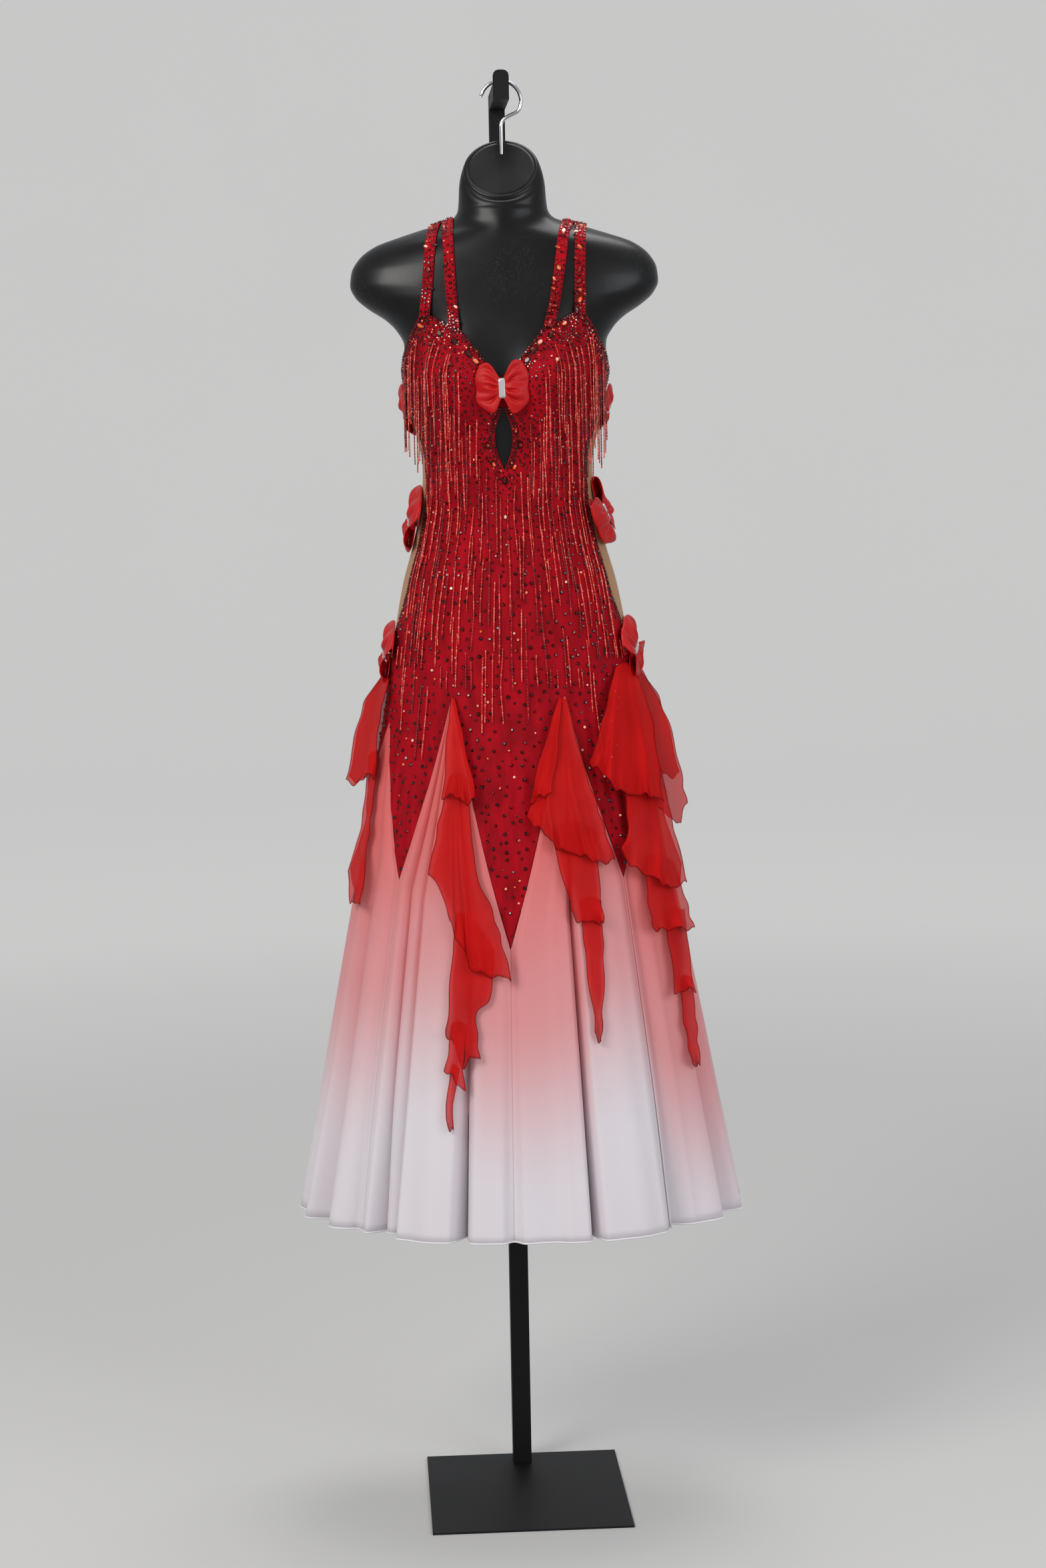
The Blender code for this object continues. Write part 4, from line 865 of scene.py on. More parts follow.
def studio_finish(colours):
    """Pale paper, faintly uneven, that glows by its glow attribute."""
    mat, tree, shader = new_finish(colours.floor, 0.85)
    tone = texture(tree, "Noise", Scale=0.8, Detail=3.0)
    feed(shader.inputs["Base Color"], mixed(tree, tone, dim(colours.floor, 0.96), colours.floor))
    feed(shader.inputs["Emission Color"], colours.floor)
    feed(shader.inputs["Emission Strength"], product(tree, attribute(tree, "glow"), WALL_GLOW))
    return mat


def finish_of(maker):
    """A finish that is made once and then shared, under its maker's name."""
    found = bpy.data.materials.get(maker.__name__)
    if found is None:
        found = maker(bpy.context.scene.dress_colours)
        found.name = maker.__name__
    return found


# Cloth

def make_panel(name, edge, half_columns, body_rows, point_rows, turned, keyhole, wall):
    """A front or back panel out of two halves that meet at the centre."""
    form = Form()
    stops = np.array([angle / 90.0 for angle, _ in POINTS[:5]])
    shares = np.interp(np.linspace(0, 4, half_columns + 1), np.arange(5), stops)
    for side in (-1, 1):
        angle, z = panel_half(side, edge, shares, body_rows, point_rows, turned, keyhole)
        faces = grid_faces(*angle.shape)
        form.add(dress_point(angle, z, drag_folds(angle, z)),
                 faces if (side > 0) != turned else faces[:, ::-1],
                 cloth_uv(angle, z, BODICE_RADIUS))
    obj = form.make(name, finish_of(stretch_cloth_finish))
    change_mesh(obj, weld)
    add_wall(obj, wall)
    return obj


def mesh_panel_net(side, rows, columns):
    """A side panel between the coloured edges, pulled taut: a grid over the angles behind them."""
    z = np.linspace(SIDE_TOP, MESH_FOOT, rows + 1)[:, None]
    first = side_edge(z) + SEAM_GAP / read_table(DRESS, z, 2) / DEG
    share = np.linspace(0, 1, columns + 1)[None]
    return side * (first + (180 - 2 * first) * share), np.broadcast_to(z, (rows + 1, columns + 1))


def fold_offset(folds, share):
    """How far a fold stands out at the hem: cosines between the rows of its table."""
    knots = np.array(((0.0, 0.0),) + folds + ((1.0, 0.0),))
    i = np.clip(np.searchsorted(knots[:, 0], share), 1, len(knots) - 1)
    t = (share - knots[i - 1, 0]) / (knots[i, 0] - knots[i - 1, 0])
    return knots[i - 1, 1] + (knots[i, 1] - knots[i - 1, 1]) * (0.5 - 0.5 * np.cos(math.pi * t))


def fold_growth(z, peak):
    """Folds grow from nothing at a godet's peak to their full size at the hem."""
    return np.clip((peak - z) / (peak - HEM), 0, None) ** 1.1


def godet_net(name, columns, rows):
    """A godet's points: rows fan out from its peak to its two points, then run down to the hem.

    The table's folds and a slight sine wave stand out more and more downwards, and bell-shaped
    creases are taken off them. The dye rises with the depth below its top, part of it evenly and
    the rest round the height at which it runs out.
    """
    left, middle, right = GODETS[name]
    peak, foot_left, foot_right = read_line(POINTS, np.abs((middle, left, right)))
    run = np.concatenate((np.linspace(0.01, 1, rows // 2), np.linspace(1, 2, rows // 2 + 1)[1:]))
    run, u = run[:, None], np.linspace(0, 1, columns + 1)[None]
    along, below = np.minimum(run, 1), np.maximum(run - 1, 0)
    ends = []
    for tip, foot, inward in ((left, foot_left, 1), (right, foot_right, -1)):
        z = peak + (foot - peak) * along + (HEM - foot) * below
        inset = SEAM_GAP / read_table(DRESS, z, 2) / DEG * np.where(run < 1, 0.4, 0.1)
        ends.append((middle + (tip - middle) * along + inward * inset, z))
    (first, z_first), (last, z_last) = ends
    angle, z = first + (last - first) * u, z_first + (z_last - z_first) * u
    growth = fold_growth(z, peak) * (1 + 0.55 * ease((FLARE_TOP - z) / (FLARE_TOP - HEM)))
    slack = np.sin(u * 23 + z * 0.004) * np.sin(math.pi * u)
    lift, lean = (fold_offset(FOLDS[name], u) + slack) * growth, 0.0
    for share, depth, width in CREASES[name]:
        off = (u - share) / width
        crease = depth * growth ** 0.75 * np.exp(-off * off)
        lift, lean = lift - crease, lean - 0.3 * crease * off
    dye_end = read_line(DYE_END, angle)
    dye = DYED_CLOTH * (DYE_SHARE * np.clip((DYE_TOP - z) / (DYE_TOP - dye_end - DYE_RUN / 2), 0, 1)
                        + (1 - DYE_SHARE) * ease((dye_end + DYE_RUN / 2 - z) / DYE_RUN))
    return (dress_point(angle + lean / read_table(DRESS, z, 1) / DEG, z, lift), dye,
            cloth_uv(angle, z, SKIRT_RADIUS))


def chiffon_point(x, z, lift, turned):
    """A point before the skirt at a given x: where the skirt grown by the lift reaches it."""
    half = read_table(DRESS, z, 1)
    lift = np.maximum(lift, np.abs(x) / math.sin(84 * DEG) - half)
    angle = np.sign(x) * np.arcsin(np.minimum(0.999, np.abs(x) / (half + lift))) / DEG
    return dress_point(behind(angle) if turned else angle, z, lift)


def tier_net(tier, turned, swapped, columns, rows):
    """One tier of a cascade: a Coons patch between its edges, with flutes that open to the hem.

    The patch is the sum of the two blends between facing edges, less the blend of the corners,
    and its top edge is arched. The flutes are cosines across it that lean over sideways, finer
    ones ruffle the hem, and the side edges curl in waves that run down them.
    """
    left, right, hem, off = tier
    hem = (left[-1], *hem, right[-1])
    u, v = np.linspace(0, 1, columns + 1)[None, :, None], np.linspace(0, 1, rows + 1)[:, None, None]
    line_l, line_r = smooth_line(left, v[:, :, 0]), smooth_line(right, v[:, :, 0])
    line_h = smooth_line(hem, u[:, :, 0])
    a, b, c, d = (np.array(corner, float) for corner in (left[0], right[0], hem[0], hem[-1]))
    flat = ((1 - u) * line_l + u * line_r + (1 - v) * (a + (b - a) * u) + v * line_h
            - ((1 - u) * (1 - v) * a + u * (1 - v) * b + (1 - u) * v * c + u * v * d))
    u, v = u[..., 0], v[..., 0]
    x = flat[..., 0]
    z = flat[..., 1] + 0.22 * abs(b[0] - a[0]) * np.sin(math.pi * u ** 0.8) * (1 - v) ** 4
    width = abs(d[0] - c[0])
    phase = 0.21 * left[0][0] + 0.05 * hem[0][1]
    deep = min(8.0, 1.5 + 0.075 * width) * v ** 1.2
    swing = 2 * math.pi * max(1.0, width / FLUTE_WIDTH) * u + phase + 0.9 * np.sin(2 * v + phase)
    flute = deep * (0.6 + 0.5 * np.cos(swing) + 0.2 * np.cos(2 * swing + 1))
    ruffle = 2 * math.pi * max(1.4, width / RUFFLE_WIDTH) * u + phase
    frill = (ease((v - 0.72) / 0.28) ** 1.5
             * (2.3 * np.cos(ruffle) + 1.6 * np.cos(1.63 * ruffle + 1)))
    wave = 0.11 * (left[0][1] - z) + phase + 1.3 * np.sin(0.041 * z)
    near_left, near_right, lower = (1 - u) ** 4, u ** 4, ease(v * 1.4)
    x = x - 0.45 * deep * np.sin(swing) + 1.3 * lower * (near_left * np.sin(wave)
                                                         + near_right * np.sin(1.2 * wave + 2))
    frill = frill + 1.2 * lower * (near_left * np.cos(wave) + near_right * np.cos(1.2 * wave + 2))
    clear = CASCADE_CLEAR + CREST * fold_growth(z, POINTS[1][1])
    lift = clear + off * ease(v * 4 + 0.12) + flute + frill + 1.5 * v
    points = chiffon_point(-x if swapped else x, z + frill, np.maximum(lift, clear), turned)
    return points, stack(x * MM, z * MM)


def strap_radius(table, x, turn):
    """How far from the strap centre the figure ends, in the plane of constant x, by halving.

    A point is inside while x is within the half width and y between the two depths, which are
    the section's depth times (1 - share of width to the squareness) to 1 over the squareness.
    """
    def inside(r):
        y, z = -r * np.cos(turn), STRAP_CENTRE + r * np.sin(turn)
        half, front, back, square = (read_table(table, z, c) for c in (1, 2, 3, 4))
        share = np.clip(np.abs(x) / half, 0, 1)
        depth = (1 - share ** square) ** (1 / square)
        return ((share < 1) & (y > -front * depth - cup_swell(table, x, z))
                & (y < back * depth) & (z < FIGURE[0][0]))

    return halve(inside, np.broadcast(x, turn).shape, 5, 300, 32)


def strap_net(name, share, t, lift):
    """Points of a strap at shares across it and shares t along it, moved out by a lift.

    The strap lies on the form in planes of constant x, and eases onto the cloth at its feet.
    """
    front_x, top_x, back_x = STRAPS[name]
    turns = []
    for x, edge, seen_from in ((front_x, NECKLINE, np.positive), (back_x, BACK_EDGE, behind)):
        z = float(read_line(edge, abs(x))) - STRAP_FOOT
        point = section_point(DRESS, seen_from(angle_of_x(x, z)), z)
        turns.append(math.atan2(z - STRAP_CENTRE, -float(point[1])) % (2 * math.pi))
    first, last = turns
    if first > math.pi:
        first -= 2 * math.pi
    turn = first + (last - first) * t
    before = (turn - first) / (math.pi / 2 - first)
    after = (turn - math.pi / 2) / (last - math.pi / 2)
    middle = np.where(turn < math.pi / 2, front_x + (top_x - front_x) * before,
                      top_x + (back_x - top_x) * after)
    x = middle + share * STRAP_WIDTH
    on_form = strap_radius(FIGURE, x, turn) + STRAP_LIFT
    on_cloth = strap_radius(DRESS, x, turn) + STRAP_ON_CLOTH
    foot = ease(1 - np.minimum(t, 1 - t) / STRAP_EASE)
    r = on_form + (on_cloth - on_form) * foot + lift
    return stack(x, -r * np.cos(turn), STRAP_CENTRE + r * np.sin(turn))


def bow_frame(name):
    """A bow's middle and its own directions: across, outwards and up, turned about outwards."""
    angle, z, turn, size, off = BOWS[name]
    outward = surface_normal(DRESS, angle, z)
    across = unit(np.cross((0.0, 0.0, 1.0), outward))
    up = np.cross(outward, across)
    c, s = math.cos(turn * DEG), math.sin(turn * DEG)
    return dress_point(angle, z, off), across * c + up * s, outward, up * c - across * s, size


def bow_net(columns, rows):
    """The two loops of a bow as a ring: cosines run round it, and its height is pinched inside.

    The front swells between the pinch and the rounded ends, the pleats fan out of the pinch
    with bell-shaped creases between them, and the upper and lower edges draw the ends in.
    Columns: across, outward, up.
    """
    turn = np.arange(columns) * 2 * math.pi / columns
    t, front = np.cos(turn)[:, None], np.sin(turn)[:, None]
    s = np.linspace(-1, 1, rows + 1)[None]
    reach = np.abs(t)
    opened = np.sin(math.pi / 2 * np.clip(reach / 0.66, 0, 1)) ** 1.4
    tall = (BOW_WAIST + (BOW_TALL - BOW_WAIST) * opened
            - 3.0 * np.clip((reach - 0.7) / 0.3, 0, 1) ** 2)
    rounding = np.abs(front) ** 0.5
    swell = 4.3 + BOW_SWELL * np.sin(math.pi * reach ** 0.8) * (1 - 0.35 * s * s)
    pleats = 2.0 * np.cos(1.6 * math.pi * s + np.sign(t)) * np.sin(math.pi * reach)
    for at, width, deep, far in BOW_CREASES:
        line = at * np.sign(t + 1e-9) if width < 0 else at
        pleats = pleats - deep * (np.exp(-((s - line - 0.10 * (reach - 0.4)) / abs(width)) ** 2)
                                  * np.exp(-((reach - far) / 0.30) ** 2))
    out = np.where(front > 0, (swell + pleats * ease((reach - 0.13) / 0.12)) * rounding,
                   -BOW_BACK * rounding)
    drawn_in = (0.26 - 0.10 * s) * np.abs(s) ** 3.2
    across = BOW_REACH * t * (1 - drawn_in - 0.05 * np.cos(math.pi * s) ** 2)
    up = tall * s * (1 + 0.04 * t) + 1.6 * reach * s * s
    return np.broadcast_arrays(across, out, up)


# Stones and beads

# A cut stone: an eight-sided base and the smaller table above it
STONE_TEMPLATE = np.array([(r * math.cos(k * math.pi / 4), r * math.sin(k * math.pi / 4), h)
                           for r, h in ((0.5, 0.0), (0.29, 0.34)) for k in range(8)])
STONE_FACES = np.array([(k, (k + 1) % 8, (k + 1) % 8 + 8, k + 8) for k in range(8)]
                       + [(8, 9, 10, 11), (8, 11, 12, 15), (12, 13, 14, 15)])
# Painted light on each stone: painted shade on the base, and a painted spark or a smaller painted
# glint at one table corner, with the share of stones that get the glint
BASE_SHADE, TABLE_SHADE, SPARK, GLINT, GLINT_SHARE = 0.5, 1.0, 0.75, 0.15, 0.4
STONE_LIFT, LARGE_STONE_LIFT, LARGE_STONE_SCALE = 0.85, 1.6, 1.15


def add_stones(form, centres, normals, sizes, tones, rng, turns=None, longer=1.0):
    """Copies of the cut stone, one for each centre, each turned about its normal.

    The base is painted darker than the table as painted shade, and on most tables one corner
    carries a painted spark of light; the others carry a smaller painted glint.
    """
    count = len(centres)
    shades = np.asarray(tones)[:, None] * np.repeat((BASE_SHADE, TABLE_SHADE), 8)
    corner = rng.integers(8, 16, count)
    lit = rng.uniform(0, 1, count) > GLINT_SHARE
    shades[np.arange(count), corner] += np.where(lit, SPARK, GLINT)
    turns = rng.uniform(0, 2 * math.pi, count) if turns is None else turns
    normals = unit(normals)
    side = unit(np.cross((0.0, 0.0, 1.0), normals) + 1e-6)
    other = np.cross(normals, side)
    c, s = np.cos(turns)[:, None], np.sin(turns)[:, None]
    first, second = side * c + other * s, other * c - side * s
    sizes, longer = (np.broadcast_to(part, count)[:, None, None] for part in (sizes, longer))
    t = STONE_TEMPLATE
    points = centres[:, None] + sizes * (first[:, None] * t[:, :1]
                                         + second[:, None] * t[:, 1:2] * longer
                                         + normals[:, None] * t[:, 2:])
    faces = STONE_FACES[None] + (np.arange(count) * len(t))[:, None, None]
    form.add(points, faces.reshape(-1, 4), tone=np.clip(shades, 0, 1).ravel())


def sew_stones(form, angle, z, lift, tilt, *stones):
    """Stones on the cloth, each tipped by its tilt."""
    add_stones(form, dress_point(angle, z, drag_folds(angle, z) + lift),
               surface_normal(DRESS, angle, z) + tilt, *stones)


def stone_net(pitch, low_z, high_z, rng):
    """A staggered net over the figure, as angles and heights, each point moved a little."""
    z = np.arange(low_z, high_z, pitch * 0.87)[:, None]
    girth = (read_table(DRESS, z, 1) + read_table(DRESS, z, 2)) / 2
    count = int(FRONT_LIMIT * DEG * 240 / pitch)
    step = np.arange(-count, count + 1)[None]
    stagger = (np.arange(len(z)) % 2)[:, None] * 0.5
    angle = (step + stagger) * pitch / girth / DEG
    z = np.broadcast_to(z, angle.shape)
    angle = angle + rng.uniform(-0.3, 0.3, angle.shape) * pitch / girth / DEG
    return angle.ravel(), (z + rng.uniform(-0.3, 0.3, z.shape) * pitch).ravel()


def on_front(angle, z, margin):
    """Whether a place lies on the front panel, a margin inside its edges and its keyhole."""
    x = np.abs(section_point(DRESS, angle, z)[..., 0])
    top = read_line(NECKLINE, x)
    foot = read_line(POINTS, np.abs(angle))
    girth = read_table(DRESS, z, 2) * DEG
    inside = (z < top - margin * 1.3) & (np.abs(angle) < side_edge(z) - margin / girth)
    low = (z > HIP_ROW) | (z > foot + margin * 3.2)
    hole = ((x > keyhole_half(z) + margin) | (z > KEYHOLE_TOP + margin)
            | (z < KEYHOLE_BOTTOM - margin))
    return inside & low & hole & (np.abs(angle) < FRONT_LIMIT)


def edge_line(angle, z, pitch):
    """Places at even steps along a line of angles and heights on the dress."""
    points = section_point(DRESS, angle, z)
    run = np.concatenate(([0], np.cumsum(np.linalg.norm(np.diff(points, axis=0), axis=1))))
    at = np.arange(pitch / 2, run[-1], pitch)
    return np.interp(at, run, angle), np.interp(at, run, z)


def panel_outline(edge, inset):
    """The upper and side edges of a panel, a little inside it, from its foot round to its foot."""
    shares = np.linspace(0, 1, 240)
    tops = edge_heights(shares, edge)
    across = shares * side_edge(tops)
    sides = np.linspace(SIDE_TOP, SIDE_EDGE[-1][0] + 1, 200)
    girth = read_table(DRESS, sides, 2) * DEG
    angle = np.concatenate((across, side_edge(sides) - inset / girth))
    z = np.concatenate((tops - inset, sides))
    return np.concatenate((-angle[::-1], angle)), np.concatenate((z[::-1], z))


def reach_towards(direction, z):
    """How far the cloth lies from the middle in a level direction, found by halving the angle."""
    def before(angle):
        point = section_point(DRESS, angle, z)
        return np.arctan2(point[..., 0], -point[..., 1]) < direction

    angle = halve(before, np.broadcast(direction, z).shape, -110, 110, 21)
    point = section_point(DRESS, angle, z)
    return np.hypot(point[..., 0], point[..., 1])


def strand_nets(comb, rng, bead):
    """Bead strands of a comb: plumb where they hang clear, and along the cloth where it swells.

    The reach at each level is the largest reach of the cloth above it and a little below, and
    each strand sways a little sideways. Rings along it follow a neck and a body for each bead,
    and each bead has its tone: each strand is painted at one level of light, some in shade and
    others lit, and random beads carry a painted glint.
    """
    top, first, last, count, length, scatter = COMBS[comb]
    angle = np.linspace(first, last, count) + rng.uniform(-0.4, 0.4, count) * (last - first) / count
    z_root = top + rng.uniform(-1, 1, count) * scatter
    x = np.abs(section_point(DRESS, angle, z_root)[..., 0])
    z_root = np.minimum(z_root, read_line(NECKLINE, x) - 16)
    floor = np.full(count, LOWEST_STRAND)
    for start, end, low in STRAND_FLOORS:
        floor = np.where((angle > start) & (angle < end), low, floor)
    z_root = np.maximum(z_root, floor + 6 * bead)
    root = section_point(DRESS, angle, z_root)
    direction = np.arctan2(root[:, 0], -root[:, 1])[:, None]
    longer = 1 + 0.45 * np.exp(-(angle / 13) ** 2) * (z_root < HIP_ROW + 110)
    wanted = length * longer * rng.uniform(0.72, 1.15, count)
    beads = (np.minimum(wanted, z_root - floor) / bead).astype(int)
    rings = int(beads.max()) * 3 + 1
    step = np.minimum(np.arange(rings)[None], beads[:, None] * 3)
    along = (step // 3 + np.array(BEAD_RINGS)[step % 3]) * bead
    z = z_root[:, None] - along
    reach = np.maximum.accumulate(reach_towards(direction, z), axis=1)
    ahead = np.concatenate((reach[:, 6:], np.repeat(reach[:, -1:], 6, axis=1)), axis=1)
    reach = np.maximum(reach, 0.6 * reach + 0.4 * ahead) + STRAND_OFF
    sway = rng.uniform(0.3, 1.6, (count, 1)) * np.sin(along * rng.uniform(0.02, 0.06, (count, 1))
                                                     + rng.uniform(0, 6.3, (count, 1)))
    side = direction + sway / reach
    points = stack(reach * np.sin(side), -reach * np.cos(side), z)
    radius = np.array(BEAD_SHARES)[step % 3] * rng.uniform(0.85, 1.15, (count, 1))
    spark = rng.uniform(0, 1, (count, rings // 3 + 1)).repeat(3, axis=1)[:, :rings]
    # Painted light: each strand's glow is a painted level of light, some strands in shade and others
    # lit, and lit adds a painted glint to random beads
    glow = rng.choice((0.15, 0.42, 0.62), (count, 1), p=(0.3, 0.35, 0.35))
    lit = np.where(spark > 0.9 - 0.4 * glow, 0.3, 0.0)
    return points, radius, np.clip(glow + 0.3 * (spark - 0.5) + lit, 0, 1), beads


# What the sidebar holds

def size_setting(name, description, metres):
    """A setting for a length."""
    return FloatProperty(name=name, description=description, default=metres, unit="LENGTH")


def colour_setting(name, description, red, green, blue):
    """A setting for a colour, given as a screen colour."""
    return FloatVectorProperty(name=name, description=description, subtype="COLOR",
                               default=paint(red, green, blue))


class DressSizes(bpy.types.PropertyGroup):
    """Sizes that a user would change"""
    cloth_wall: size_setting("Stretch cloth", "Wall of the beaded panels", 0.0016)
    skirt_wall: size_setting("Skirt cloth", "Wall of the godets and side mesh", 0.0012)
    chiffon_wall: size_setting("Chiffon", "Wall of the cascades", 0.001)
    satin_wall: size_setting("Bow satin", "Wall of the bows", 0.00084)
    hem_roll: size_setting("Rolled hem", "Radius of the skirt's rolled hem", 0.0014)
    stone: size_setting("Small stone", "Width of the commonest rhinestone", 0.0044)
    stone_pitch: size_setting("Stone spacing", "Spacing of the panel's stones below the waist", 0.0142)
    bead_length: size_setting("Bead", "Length of a bugle bead with its gap", 0.0043)
    bead_radius: size_setting("Bead radius", "Radius of a bugle bead", 0.00085)
    seed: IntProperty(name="Scatter", description="Seed of the scatter of stones and strands",
                      default=7)


class DressColours(bpy.types.PropertyGroup):
    """Colours that a user would change"""
    cloth: colour_setting("Panel red", "Stretch cloth under the beads", 186, 7, 28)
    mesh: colour_setting("Mesh", "Skin-coloured side mesh", 190, 142, 98)
    rose: colour_setting("Rose", "Godets at their peaks", 234, 86, 82)
    white: colour_setting("White", "Godets at the hem", 242, 234, 239)
    chiffon: colour_setting("Chiffon", "Cascades", 238, 24, 24)
    satin: colour_setting("Satin", "Bows", 206, 9, 13)
    beads: colour_setting("Beads", "Bugle beads of the fringe", 238, 54, 42)
    stones: colour_setting("Stones", "Rhinestones", 120, 6, 16)
    crystal: colour_setting("Crystal", "Baguette stones of the bows", 236, 230, 232)
    plastic: colour_setting("Form", "Torso form", 12, 12, 13)
    chrome: colour_setting("Hook", "Hook wire", 214, 214, 218)
    steel: colour_setting("Stand", "Powder coat of the stand", 13, 13, 14)
    floor: colour_setting("Floor", "Studio floor and backdrop", 214, 213, 211)


class DRESS_OT_panels(bpy.types.Operator):
    """Make the beaded front and back panels and the mesh side panels"""
    bl_idname = "dress.make_panels"
    bl_label = "Panels"

    def execute(self, context):
        sizes = context.scene.dress_sizes
        wall = sizes.cloth_wall / MM
        front = make_panel("front_cloth", NECKLINE, 64, 110, 60, False, True, wall)
        place(front, "beaded_stretch", "front_panel")
        back = make_panel("back_cloth", BACK_EDGE, 40, 80, 44, True, False, wall)
        place(back, "beaded_stretch", "back_panel")
        for name, side in (("left", -1), ("right", 1)):
            angle, z = mesh_panel_net(side, 80, 20)
            faces = grid_faces(*angle.shape)
            obj = make_piece("side_mesh_" + name, nude_mesh_finish,
                             dress_point(angle, z, 0.4 * np.cos(z * 0.05)),
                             faces if side > 0 else faces[:, ::-1],
                             cloth_uv(angle, z, BODICE_RADIUS))
            add_wall(obj, sizes.skirt_wall / MM)
            place(obj, "nude_mesh", "side_panel_" + name)
        return {"FINISHED"}


class DRESS_OT_godets(bpy.types.Operator):
    """Make the dyed godets with their folds and rolled hem"""
    bl_idname = "dress.make_godets"
    bl_label = "Godets"

    def execute(self, context):
        sizes = context.scene.dress_sizes
        for name in GODETS:
            grid = GODET_GRIDS.get(name.split("_")[0], OTHER_GODETS)
            points, dye, uv = godet_net(name, *grid)
            obj = make_piece("skirt_" + name, ombre_finish, points, grid_faces(*dye.shape), uv,
                             dye=dye.ravel())
            add_wall(obj, sizes.skirt_wall / MM)
            place(obj, "ombre_satin", "godet_" + name)
            roll = make_piece("hem_" + name, ombre_finish,
                              *tube(points[-1] + (0.0, 0.0, HEM_LIFT), sizes.hem_roll / MM, 8),
                              dye=1.0)
            place(roll, "ombre_satin")
        return {"FINISHED"}


class DRESS_OT_cascades(bpy.types.Operator):
    """Make the chiffon cascades, tier by tier, with their overlocked edges"""
    bl_idname = "dress.make_cascades"
    bl_label = "Cascades"

    def execute(self, context):
        sizes = context.scene.dress_sizes
        for name, (tiers, turned, swapped) in CASCADES.items():
            form, edges = Form(), Form()
            for tier in TIERS[tiers]:
                grid = OTHER_TIERS if turned else TIER_GRID
                points, uv = tier_net(tier, turned, swapped, *grid)
                faces = grid_faces(*points.shape[:2])
                form.add(points, faces[:, ::-1] if turned != swapped else faces, uv)
                for path in (points[-1], points[:, 0], points[:, -1]):
                    edges.add(*tube(path, OVERLOCK_RADIUS, 5, (0.13, -0.99, 0.05)), edge=1.0)
            obj = form.make("chiffon_" + name, finish_of(chiffon_finish))
            add_wall(obj, sizes.chiffon_wall / MM)
            place(obj, "red_chiffon", "cascade_" + name)
            sewn = edges.make("overlock_" + name, finish_of(chiffon_finish))
            place(sewn, "red_chiffon")
        return {"FINISHED"}


class DRESS_OT_bows(bpy.types.Operator):
    """Make the satin bows with their centre bands and baguette crystals"""
    bl_idname = "dress.make_bows"
    bl_label = "Bows"

    def execute(self, context):
        sizes = context.scene.dress_sizes
        a, out, tall = bow_net(80, 34)
        half_width, half_height, knot_middle, knot_swell = KNOT
        for name in BOWS:
            middle, across, outward, up, size = bow_frame(name)

            def seat(x, y, z):
                """Bow measures to places on the dress."""
                return middle + x[..., None] * across + y[..., None] * outward + z[..., None] * up

            form = Form()
            ring = grid_faces(len(a) + 1, a.shape[1]) % a.size
            form.add(seat(a * size, out * size, tall * size), ring, stack(a * MM, tall * MM))
            turn = (np.arange(25) * 2 * math.pi / 24)[:, None]
            w = np.linspace(-half_width, half_width, 9)[None] * size
            swell = knot_swell * np.sign(np.sin(turn)) * np.abs(np.sin(turn)) ** 0.6
            knot = np.broadcast_arrays(w, (knot_middle + swell) * size,
                                       half_height * np.cos(turn) * size)
            form.add(seat(*knot), grid_faces(25, 9))
            obj = form.make("satin_bow_" + name, finish_of(satin_finish))
            change_mesh(obj, weld)
            add_wall(obj, sizes.satin_wall / MM)
            place(obj, "red_satin", "bow_" + name)
            self.stone(name, seat, size)
        return {"FINISHED"}

    def stone(self, name, seat, size):
        """A step-cut baguette: eight-sided outlines that shrink from the girdle to the table."""
        length, width, depth, corner = CRYSTAL
        length *= min(size, 1.0)
        x = np.array((1, 1, 1, -1, -1, -1, -1, 1)) * width / 2
        x = x - np.array((0, 0, corner, -corner, 0, 0, -corner, corner))
        z = np.array((-1, 1, 1, 1, 1, -1, -1, -1)) * length / 2
        z = z - np.array((-corner, corner, 0, 0, corner, -corner, 0, 0))
        rise, share, shade = np.array(CRYSTAL_LEVELS).T[..., None]
        shrink = (1 - share) * width / 2
        points = seat(x - np.sign(x) * shrink,
                      rise * depth + 0 * x + (CRYSTAL_SEAT * size + CRYSTAL_GAP),
                      z - np.sign(z) * shrink)
        count = len(CRYSTAL_LEVELS)
        faces = [block[:, ::-1] for block in (grid_faces(count, 8, closed=True),
                                              *cap_faces(count, 8))]
        # Painted light and shade on the facets, standing in for light reflected inside the stone
        facet = (shade * np.tile((1, 0.8, 0.95, 0.7), 2)).ravel()
        obj = make_piece("baguette_" + name, crystal_finish, points, faces, smooth=False,
                         facet=facet)
        place(obj, "crystal", "crystal_" + name)


